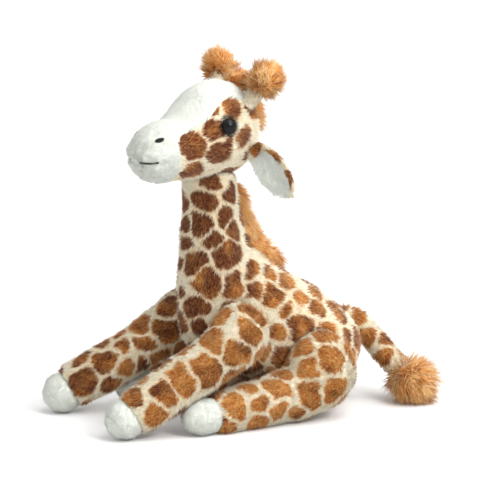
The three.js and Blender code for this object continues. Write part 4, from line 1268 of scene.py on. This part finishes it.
@dataclass
class Giraffe:
    """The whole animal, built sub-assembly by sub-assembly."""

    shop: Workshop = field(default_factory=Workshop)
    photo: Photo = field(default_factory=Photo)
    torso: Torso = field(default_factory=Torso)
    legs: Legs = field(default_factory=Legs)
    head: Head = field(default_factory=Head)

    def build(self) -> None:
        """Builds every piece and dresses the nodes that stay."""
        self.build_torso()
        self.build_neck_mane()
        self.build_legs()
        self.build_head()
        for side, word in SIDES:
            self.build_eye(side, word)
            self.build_ear(side, word)
            self.build_horn(side, word)
        self.build_crest()
        self.build_tail()
        self.dress_nodes()

    def limbs(self) -> list[tuple[Leg, Array]]:
        """The four legs, each with its patches' marks, empty where the photograph hides it."""
        return [
            (self.legs.front("left_front", 1.0, reach=77.7, drift=-13.3), NEAR_FRONT_MARKS),
            (self.legs.front("right_front", -1.0, reach=75.5, drift=27.0), FAR_FRONT_MARKS),
            (self.legs.hind("left_hind", 1.0, reach=89.3, drift=-0.2), NEAR_HIND_MARKS),
            (self.legs.hind("right_hind", -1.0, reach=82.9, drift=18.0), np.zeros((0, 3))),
        ]

    def patched(self, skin: Skin, marks: Array, spacing: float, chance: int, marked: Optional[Skin] = None,
                allowed: Optional[AtPoints] = None, mirror: bool = False, **looks: object) -> AtPoints:
        """A patched coat: the photograph's marks where it shows the skin, and scattered patches elsewhere.

        The marks may lie on another skin than the scattered ones, which may be allowed in some places only.
        """
        seeds, radii = self.photo.on_skin(marked or skin, marks)
        centres, radii = spread_patches(skin, seeds, radii, spacing, chance, mirror)
        if allowed is not None:
            kept = (np.arange(len(centres)) < len(seeds)) | allowed(centres)
            centres, radii = centres[kept], radii[kept]
        return Coat(centres, radii, **looks).colours

    def long_pile(self, name: str, skin: Skin, body: Body, seed: int, pile: Pile = LONG) -> None:
        """A core of long-pile cloth with its locks."""
        coat = plain(LONG_PILE, LONG_PILE_DARK, 8.0, seed)
        self.shop.dressed(name, skin, coat, LONG_HAIR, pile, body, (name,), seed, words=("core", "locks"))

    def build_torso(self) -> None:
        """The torso and neck with their pile."""
        skin = self.torso.skin([self.legs.shoulder_dent, self.legs.hip_dent])
        # The neck and chest patches are darker, partly in tone and partly by painted shade; under the chin
        # it is painted shade
        coat = self.patched(skin, TORSO_MARKS, 16.0, 12, mirror=True, shade=neck_tone_and_painted_shade)
        limbs = [leg for leg, _ in self.limbs()]

        def shows(roots: Roots) -> Array:
            """Whether roots are clear of the legs' roots and below the head."""
            hidden = np.zeros(len(roots.points), dtype=bool)
            for leg in limbs:
                near = np.linalg.norm((roots.points - leg.root) / (leg.root_radii + 1.5), axis=1)
                hidden |= (leg.depth(roots.points) < 0.97) | (near < 0.93)
            height = roots.points[:, 2]
            return ~hidden & (height < HAIR_TOP) & (height > HAIR_LOW)

        nodes = ("torso_cover", "torso_filling")
        self.shop.dressed("torso", skin, coat, PLUSH, BODY_PILE, NECK, nodes, 40, shows, 0.9)

    def build_neck_mane(self, count: int = 40) -> None:
        """The long mane down the back of the neck."""
        middle, rise, reach, _ = self.torso.rings(np.linspace(0.46, 0.955, count) * 12 / 15, 0.0)
        swell = np.maximum(np.sin(np.pi * np.linspace(0, 1, count)), 0) ** 0.34
        tall = np.linspace(1.5, 0.75, count) * (1 + 0.14 * np.sin(np.linspace(0, 5.5 * np.pi, count)))
        aside = np.array([1.0, 0, 0])
        mane = tube_skin(middle + rise * reach[:, None], 4.6 * swell, 24, 1.0, aside, 5.8 * swell * tall)
        mane.flow = unit(mane.flow * -1.0 + [0, 0, -0.4])
        self.long_pile("neck_mane", mane, NECK, 60)

    def build_legs(self) -> None:
        """The four legs with their hooves."""
        white = plain(WHITE_PILE, WHITE_PILE * 0.97, 20.0, 5)
        for number, (leg, marks) in enumerate(self.limbs()):
            mend = self.legs.torso_relief(leg, self.torso) if leg.lying else self.legs.chest_relief(leg)
            skin = leg.cover_skin(mend)
            # Patch tone per leg: the hind legs lighter, partly in tone and partly by painted light on the
            # haunches; the far front leg darker, partly in tone and partly by painted shade
            tone = 0.5 if leg.lying else (0.1 if leg.side > 0 else -0.4)
            gap = 2.6 if leg.lying else 2.2
            coat = self.patched(skin, marks, 17.0, 70 + number, gap=gap, seed=80 + number, tone=tone)
            edge = leg.reach - leg.seam

            def shows(roots: Roots, leg: Leg = leg, edge: float = edge) -> Array:
                """Whether roots are outside the torso and short of the hoof's seam."""
                buried = (self.torso.depth(roots.points) < 0.95) & (np.abs(roots.points[:, 0]) < 30)
                along = (roots.points - leg.start) @ leg.way
                disc = np.abs(roots.normals @ leg.way) > 0.97
                return ~buried & (roots.points[:, 2] > HAIR_LOW) & ~(disc & (along > edge - 1.0))

            def bare(roots: Roots, leg: Leg = leg, edge: float = edge) -> Array:
                """Whether roots are on the hoof's outside."""
                along = (roots.points - leg.start) @ leg.way
                disc = (roots.normals @ leg.way) < -0.9
                return (roots.points[:, 2] > 0.3) & ~(disc & (along < edge + 1.0))

            body, hoof = f"{leg.name}_leg", f"{leg.name}_hoof"
            self.shop.dressed(body, skin, coat, PLUSH, BODY_PILE, body, (f"{body}_cover", f"{body}_filling"),
                              90 + 3 * number, shows, 0.85)
            self.shop.dressed(hoof, leg.hoof_skin(), white, WHITE, NAP, body, (hoof,), 110 + 3 * number,
                              bare, 0.85)

    def build_head(self) -> None:
        """The head with its face."""
        head = self.head
        own = head.own_grid(0.0)
        face_zone = smoothstep(-0.5, 0.5, head.face_share(own))
        skin = head.skin(INSET * (1 - face_zone) + (0.75 + self.relief(own)) * face_zone)
        # The head's patches are darker, partly in tone and partly by painted shade
        patched = self.patched(
            skin, HEAD_MARKS, 17.0, 19, gap=1.5, seed=22, tone=-0.9,
            allowed=lambda points: head.face_share(head.to_own(points)) < -2)
        bright = plain(WHITE_PILE, WHITE_PILE * 0.97, 20.0, 6)

        def white(points: Array) -> Array:
            """White, a little greyer over the muzzle: painted shade that tones down the muzzle, which the
            side lamp lights strongly.
            """
            ahead = -head.to_own(points)[:, 1]
            return bright(points) * (1 - 0.08 * smoothstep(30, 42, ahead))[:, None]

        def shaded(points: Array) -> Array:
            """Patched, with painted shade darkening it round the eyes."""
            away = self.from_eyes(head.to_own(points))
            return patched(points) * (0.3 + 0.7 * smoothstep(6.3, 8.4, away))[:, None]

        def coat(points: Array) -> Array:
            """White in the face, patched elsewhere."""
            inside = (head.face_share(head.to_own(points)) > 0)[:, None]
            return np.where(inside, white(points), shaded(points))

        def hair(roots: Roots) -> Array:
            """Roots outside the face and the eyes."""
            inside = head.to_own(roots.points)
            return (head.face_share(inside) < -0.1) & (self.from_eyes(inside) >= 6.1)

        def nap(roots: Roots) -> Array:
            """Roots inside the face, clear of the nose's and the mouth's stitches."""
            near = np.zeros(len(roots.points), dtype=bool)
            for place in stitches:
                near |= np.linalg.norm(roots.points - place, axis=1) < 0.85
            return (head.face_share(head.to_own(roots.points)) > 0.2) & ~near

        nodes = ("head_cover", "head_filling")
        self.shop.cover("head_skin", skin.mesh(coat), PLUSH_CLOTH, "head", nodes, 0.9)
        self.shop.cover("face_skin", self.face_shell(white), WHITE_CLOTH, "head", ("face_panel",))
        stitches = self.build_stitches()
        pile = replace(BODY_PILE, length=2.8)
        self.shop.fur("head_pile", skin, pile, shaded, PLUSH_PILE, "head", 130, hair)
        self.shop.fur("face_pile", skin.moved(0.35), NAP, white, WHITE_SHORT, "head", 133, nap)

    def build_crest(self, count: int = 44) -> None:
        """The long crest from the forehead down the back of the head."""
        forward, middle, reach, _ = self.head.rings(CREST_SHARES[:, 0])
        ridge = np.stack([0 * forward, -forward, middle + reach * CREST_SHARES[:, 1]], axis=-1)
        line = line_at(self.head.to_world(ridge), count)
        way = np.linspace(0, 1, count)
        swell = np.sqrt(np.maximum(np.sin(np.pi * way), 0))
        tall = 1 + 1.0 * smoothstep(0.45, 0.15, way) + 0.5 * smoothstep(0.5, 0.7, way)
        aside = self.head.turned(np.array([1.0, 0, 0]))
        crest = tube_skin(line, 4.8 * swell, 24, 1.0, aside, 5.6 * swell * tall)
        self.long_pile("head_mane", crest, "head", 140)

    def mouth_line(self) -> tuple[Array, Array, Array]:
        """The mouth's shares from -1 to 1 with its places and normals in the head's frame."""
        share = np.linspace(-1, 1, 241)
        turn = np.radians(share * MOUTH_TURN)
        ways = np.stack([np.sin(turn), -np.cos(turn), 0 * turn], axis=-1)
        starts = np.stack([0 * share, np.full(len(share), -42.0), 21.0 + 2.0 * share ** 2], axis=-1)
        return share, *self.head.surface_at(starts, ways)

    def relief(self, own: Array) -> Array:
        """How far the muzzle is drawn in: a crease under the mouth, a full lip over it, and soft lumps."""
        flat = own.reshape(-1, 3)
        _, places, _ = self.mouth_line()
        off = flat[:, None] - places[::12][None]
        away = np.linalg.norm(off, axis=-1)
        nearest = away.argmin(axis=1)
        over = off[np.arange(len(flat)), nearest, 2]
        away = away.min(axis=1)
        crease = 1.1 * np.exp(-(np.maximum(away - 0.8, 0) / 1.9) ** 2) * smoothstep(2.5, -1.0, over)
        lip = -0.9 * np.exp(-((over - 5.0) / 3.6) ** 2) * np.exp(-(np.maximum(away - 6.0, 0) / 3.0) ** 2)
        ahead = smoothstep(34.0, 46.0, -flat[:, 1])
        lumps = 0.22 * wave_noise(flat, 7.5, 61)[:, 0] * ahead
        return (crease + lip + lumps).reshape(own.shape[:-1])

    def from_eyes(self, own: Array) -> Array:
        """How far places in the head's frame lie from the nearer eye."""
        return np.minimum(*[np.linalg.norm(own - self.eye_seat(side)[0], axis=-1) for side, _ in SIDES])

    def face_shell(self, coat: AtPoints) -> MeshData:
        """The white face as a thin closed shell: the head's faces inside its outline, twice, and a rim."""
        head = self.head
        relief = self.relief(head.own_grid(0.0))
        outer = head.skin(0.45 + relief)
        inner = head.skin(0.75 + relief)
        data = outer.mesh(coat)
        share = head.face_share(head.to_own(data.points))
        faces = data.faces[(share[data.faces] > 0).all(axis=1)]
        used = np.unique(faces)
        number = np.full(len(data.points), -1)
        number[used] = np.arange(len(used))
        faces = number[faces]
        below = inner.mesh(coat)
        count = len(used)
        edges = np.concatenate([faces[:, [0, 1]], faces[:, [1, 2]], faces[:, [2, 0]]])
        codes = edges[:, 0] * count + edges[:, 1]
        alone = edges[~np.isin(codes, edges[:, 1] * count + edges[:, 0])]
        a, b = alone[:, 0], alone[:, 1]
        under, over = [b, a, a + count], [b, a + count, b + count]
        rim = np.concatenate([np.stack(under, axis=1), np.stack(over, axis=1)])
        points = np.concatenate([data.points[used], below.points[used]])
        places = np.concatenate([data.places[used]] * 2)
        return MeshData(points, np.concatenate([faces, faces[:, ::-1] + count, rim]), places, coat(points))

    def eye_seat(self, side: float) -> tuple[Array, Array]:
        """An eye's place and normal in the head's frame."""
        start = np.array([[0.0, -4.0, 37.0 + self.head.rise]])
        place, normal = self.head.surface_at(start, np.array([[side, 0, 0]]))
        return place[0], normal[0]

    def build_eye(self, side: float, word: str) -> None:
        """A safety eye: a turned profile, radius over height, round the eye's axis, with its shank."""
        place, normal = self.eye_seat(side)
        tilt = np.linspace(0, 1.5, 26)
        dome = np.stack([EYE_RADIUS * np.sin(tilt), EYE_HEIGHT * np.cos(tilt)], axis=-1)
        profile = np.concatenate([dome, EYE_SHANK])
        angle = full_turn(48)
        first = unit(np.cross(normal, [0, 0, 1.0]))
        second = np.cross(normal, first)
        flat = first * np.cos(angle)[:, None] + second * np.sin(angle)[:, None]
        radii, heights = profile.T[..., None]
        points = place + flat[None] * radii[..., None] + (normal * heights)[:, None]
        skin = Skin(self.head.to_world(closed(points)), 1.0)
        coat = plain(linear(10, 8, 8), linear(14, 11, 10), 5.0, 3)
        self.shop.cover(f"{word}_eye_dome", skin.mesh(coat), EYE_BLACK, "head", (f"{word}_eye",))

    def build_stitches(self) -> Array:
        """The nostrils and the mouth, and places along them, which the face's nap stays clear of."""
        black = plain(linear(30, 24, 22), linear(20, 15, 14), 2.0, 9)
        found = [self.build_nostril(side, word, black) for side, word in SIDES]
        return np.concatenate([*found, self.build_mouth(black)])

    def build_nostril(self, side: float, word: str, black: AtPoints) -> Array:
        """A nostril's satin stitch: a low ribbed dome, 6.4 mm long, and places along it."""
        head = self.head
        _, middle, _, _ = head.rings(np.array([0.76]))
        start = np.array([[side * 12.0, -49.6, middle[0]]])
        place, normal = (rows[0] for rows in head.surface_at(start, np.array([[0.0, 0, 1.0]])))
        ahead = np.array([side * 0.25, 0.9, 0.1])
        ahead = unit(ahead - normal * (ahead @ normal))
        across = np.cross(ahead, normal)
        tilt = np.linspace(0, np.pi, 40)[:, None]
        angle = full_turn(56)[None]
        x = 1.6 * np.sin(tilt) * np.cos(angle)
        y = 3.2 * np.sin(tilt) * np.sin(angle)
        rib = 1 + 0.12 * np.sin(y * 9.0)
        z = np.maximum(np.cos(tilt) * 0.65 * rib, -0.5)
        points = place + across * x[..., None] + ahead * y[..., None] + normal * z[..., None]
        skin = Skin(head.to_world(closed(points)), 1.0)
        self.shop.cover(f"{word}_nostril_stitch", skin.mesh(black), THREAD, "head", (f"{word}_nostril",))
        return head.to_world(place + np.linspace(-2.6, 2.6, 9)[:, None] * ahead)

    def build_mouth(self, black: AtPoints) -> Array:
        """The mouth's stitches, which dip under the cloth at the line's gap, and places along them."""
        share, places, normals = self.mouth_line()
        places = places - normals * self.relief(places)[:, None]
        most = np.where(share > 0, 0.85, 0.45)
        shown = smoothstep(0.08, 0.15, np.where(share > 0, share, -share - 0.14))
        shown = shown * smoothstep(0.86, 0.8, abs(share))
        line = self.head.to_world(places + normals * (most * shown - 0.95)[:, None])
        steps = np.concatenate([[0], np.cumsum(np.linalg.norm(np.diff(line, axis=0), axis=1))])
        stitch = (0.35 + 0.3 * shown) * (0.75 + 0.25 * np.abs(np.sin(steps * np.pi / 2.6)))
        from_end = np.minimum(np.arange(len(line)), np.arange(len(line))[::-1])
        stitch = stitch * np.minimum(from_end / 4, 1)
        thread = tube_skin(line, stitch, 12)
        self.shop.cover("mouth_thread", thread.mesh(black), THREAD, "head", ("mouth_stitch",))
        return line[shown > 0.5][::3]

    def build_ear(self, side: float, word: str, rim: float = 4.8, inner: float = 4.4) -> None:
        """An ear's two leaves with their pile: the white one has a patched rim."""
        ear, body, seed = Ear(side), f"{word}_ear", int(side)
        back, front = (ear.leaf(self.head, white, 1.5) for white in (False, True))
        face = self.head.turned(ear.frame(self.head)[2])
        marks = EAR_MARKS if side > 0 else EAR_MARKS[:0]
        patched = self.patched(back, marks, 14.0, 150 + seed, marked=front, seed=27)
        white = plain(WHITE_PILE, WHITE_PILE * 0.97, 20.0, 7)

        def inside(points: Array) -> Array:
            """How far places lie inside the ear's rim."""
            return ear.from_rim(self.head, points)

        def rimmed(points: Array) -> Array:
            """Patched near the rim, white inside it."""
            return np.where((inside(points) < rim)[:, None], patched(points), white(points))

        def at_rim(roots: Roots) -> Array:
            """Roots on the front near the rim."""
            return (roots.normals @ face > -0.1) & (inside(roots.points) < rim)

        def within(roots: Roots) -> Array:
            """Roots on the front inside the rim."""
            return (roots.normals @ face > -0.05) & (inside(roots.points) > inner)

        short = replace(BODY_PILE, length=2.2, scatter=0.5)
        self.shop.cover(f"{body}_back_leaf", back.mesh(patched), PLUSH_CLOTH, body, (f"{body}_back",))
        self.shop.cover(f"{body}_front_leaf", front.mesh(rimmed), WHITE_CLOTH, body, (f"{body}_front",))
        self.shop.fur(f"{body}_back_pile", back, short, patched, PLUSH_PILE, body, 160 + seed,
                      lambda roots: roots.normals @ face < -0.15)
        self.shop.fur(f"{body}_rim_pile", front, short, patched, PLUSH_PILE, body, 165 + seed, at_rim)
        nap = replace(NAP, length=1.6)
        self.shop.fur(f"{body}_front_pile", front, nap, white, WHITE_SHORT, body, 170 + seed, within)

    def build_horn(self, side: float, word: str) -> None:
        """A horn: a short plush stem and its long-pile ball."""
        head, photo = self.head, self.photo
        base = np.array([side * 17.0, 19.0, 49.0 + head.rise])
        centre = np.array([side * 26.0, 27.0, 63.3 + head.rise])
        way = unit(centre - base)
        length = np.linalg.norm(centre - base)
        line = head.to_world(base + way * np.linspace(-4.0, length - 2.0, 24)[:, None])
        radii = np.linspace(4.8, 4.1, 24)
        radii[[0, -1]] = 0.1
        cream = plain(CREAM, CREAM * 0.94, 12.0, 4)
        name, stem, nap = f"{word}_horn_stem", tube_skin(line, radii, 32), replace(NAP, length=1.6)
        self.shop.dressed(name, stem, cream, PLUSH, nap, "head", (name,), 180 + int(side),
                          lambda roots: head.depth(head.to_own(roots.points)) > 1.0)
        shift = -1.5 * photo.right if side > 0 else 0.9 * photo.right - 0.9 * photo.up
        radius = 8.1 if side > 0 else 7.5
        ball = ball_skin(head.to_world(centre) + shift, radius, -head.turned(way))
        pile = replace(LONG, length=5.3, rise=82.0)
        self.long_pile(f"{word}_horn_ball", ball, "head", 190 + int(side), pile)

    def build_tail(self, count: int = 60) -> None:
        """The tail with its tuft."""
        back, aside, down = TAIL_SHARES.T
        height = TAIL_TOP - down * (TAIL_TOP - 13.8 + 0.5)
        points = np.stack([aside * 35.0, 46.67 + back * 26.0, height], axis=-1)
        line = line_at(points, count)
        fade = smoothstep(1.15, 0.0, np.linspace(0, 1, count))[:, None]
        line = line - fade * [1.5, 4.2, 3.7]
        ahead = unit(line[:1] - line[1:2])
        line = np.concatenate([line[:1] + ahead * 4.0, line])
        radii = np.concatenate([[0.05], np.linspace(6.5, 6.7, count)])
        radii[-1] = 0.05
        skin = tube_skin(line, radii, 40)
        coat = self.patched(skin, TAIL_MARKS, 13.0, 210, gap=2.4, seed=33)
        hair = replace(BODY_PILE, length=3.0)
        self.shop.dressed("tail", skin, coat, PLUSH, hair, "tail", ("tail_cover",), 212,
                          lambda roots: self.torso.depth(roots.points) > 1.0)
        tuft = ball_skin(points[-1] + [0.6, 0.2, -0.2], 10.4, line[40] - points[-1])
        pile = replace(LONG, length=8.2, rise=50.0, clump=4.6, gather=1.3, pull=0.8)
        self.long_pile("tail_tuft", tuft, "tail", 220, pile)

    def dress_nodes(self) -> None:
        """Gives the washers, which stay as they are, their plastic."""
        for _, word in SIDES:
            node = bpy.data.objects[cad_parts[f"{word}_eye_washer"].name]
            for slot in node.material_slots:
                slot.material = WASHER.material()


# Floor, light and camera

def aimed(x: float, y: float, z: float) -> Euler:
    """The turn of a lamp that shines in a direction."""
    return Vector((x, y, z)).to_track_quat("-Z", "Y").to_euler()


@dataclass
class Studio:
    """The pale floor, the soft light from above and the camera at the photograph's angle."""

    photo: Photo
    distance: float = 9000.0
    sun: float = 1.85
    sky: float = 0.85
    lamp: float = 8.5

    def build(self) -> None:
        """Makes the stage, the lights and the camera."""
        self.floor()
        self.world()
        self.lights()
        self.camera()

    def place(self, name: str, data: bpy.types.ID) -> bpy.types.Object:
        """Puts a lamp or a camera into the scene."""
        made = bpy.data.objects.new(name, data)
        bpy.context.scene.collection.objects.link(made)
        return made

    def floor(self, radius: float = 9000.0, sides: int = 96) -> None:
        """A wide round floor that shows white where no shadow falls on it."""
        angle = full_turn(sides)
        rim = np.stack([np.cos(angle), np.sin(angle), 0 * angle], axis=-1) * radius
        after = np.roll(np.arange(sides), -1) + 1
        faces = np.stack([np.zeros(sides, dtype=int), np.arange(sides) + 1, after], axis=-1)
        floor = MeshData(np.concatenate([[[0.0, 0, 0]], rim]), faces).to_object("floor")
        made = bpy.data.materials.new("pale floor")
        made.use_nodes = True
        graph = Graph(made.node_tree)
        made.node_tree.nodes.remove(made.node_tree.nodes["Principled BSDF"])
        cloth = graph.add("BsdfDiffuse", Color=(0.81, 0.81, 0.81, 1))
        glow = graph.add("Emission", Color=(1, 1, 1, 1))
        seen = graph.add("Math")
        seen.operation = "MULTIPLY"
        seen.inputs[1].default_value = 0.06
        graph.join(graph.add("LightPath"), "Is Camera Ray", seen, 0)
        graph.join(seen, "Value", glow, "Strength")
        both = graph.add("AddShader")
        graph.join(cloth, "BSDF", both, 0)
        graph.join(glow, "Emission", both, 1)
        graph.join(both, "Shader", made.node_tree.nodes["Material Output"], "Surface")
        floor.data.materials.append(made)

    def world(self) -> None:
        """A sky that is brighter above than at its edge, and shows white to the camera."""
        world = bpy.data.worlds.new("studio")
        bpy.context.scene.world = world
        world.use_nodes = True
        graph = Graph(world.node_tree)
        sky = graph.fill(world.node_tree.nodes["Background"], Color=(1.0, 1.0, 1.0, 1))
        parts = graph.add("SeparateXYZ")
        graph.join(graph.add("TexCoord"), "Generated", parts, "Vector")
        ramp = graph.add("MapRange", From_Min=-0.1, From_Max=0.9, To_Min=self.sky * 0.82,
                         To_Max=self.sky * 1.1)
        graph.join(parts, "Z", ramp, "Value")
        graph.join(ramp, "Result", sky, "Strength")
        mixed = graph.add("MixShader")
        graph.join(graph.add("LightPath"), "Is Camera Ray", mixed, "Fac")
        graph.join(sky, "Background", mixed, 1)
        graph.join(graph.add("Background", Color=(1, 1, 1, 1)), "Background", mixed, 2)
        graph.join(mixed, "Shader", world.node_tree.nodes["World Output"], "Surface")

    def lights(self) -> None:
        """A wide sun from above and a soft lamp beside the camera."""
        sun = bpy.data.lights.new("softbox", "SUN")
        sun.energy = self.sun
        sun.angle = math.radians(50.0)
        self.place("softbox", sun).rotation_euler = aimed(-0.54, -0.31, -1.1)
        way = unit(self.photo.toward * 0.75 + self.photo.right * 0.5 + self.photo.up * 0.4)
        soft = bpy.data.lights.new("side softbox", "AREA")
        soft.energy, soft.size = self.lamp, 0.35
        side = self.place("side softbox", soft)
        side.location = Vector((self.photo.middle() + way * 1600.0) * MM)
        side.rotation_euler = aimed(*-way)

    def camera(self, sensor: float = 36.0) -> None:
        """A far camera whose frame is the photograph's."""
        data = bpy.data.cameras.new("camera")
        data.sensor_width = sensor
        data.lens = sensor * self.distance / (self.photo.pixels * self.photo.mm_a_pixel)
        data.clip_start, data.clip_end = 0.1, 50.0
        back = unit(self.photo.toward)
        right = unit(self.photo.right - back * (self.photo.right @ back))
        turn = Matrix(np.stack([right, np.cross(back, right), back], axis=1).tolist()).to_4x4()
        where = Matrix.Translation(Vector((self.photo.middle() + back * self.distance) * MM))
        holder = self.place("camera", data)
        holder.matrix_world = where @ turn
        bpy.context.scene.camera = holder


def main() -> None:
    """Builds the giraffe and its stage."""
    logging.basicConfig(level=logging.INFO, format="%(message)s")
    bpy.context.scene.view_settings.view_transform = "Standard"
    giraffe = Giraffe()
    giraffe.build()
    Studio(giraffe.photo).build()


if __name__ == "__main__":
    main()
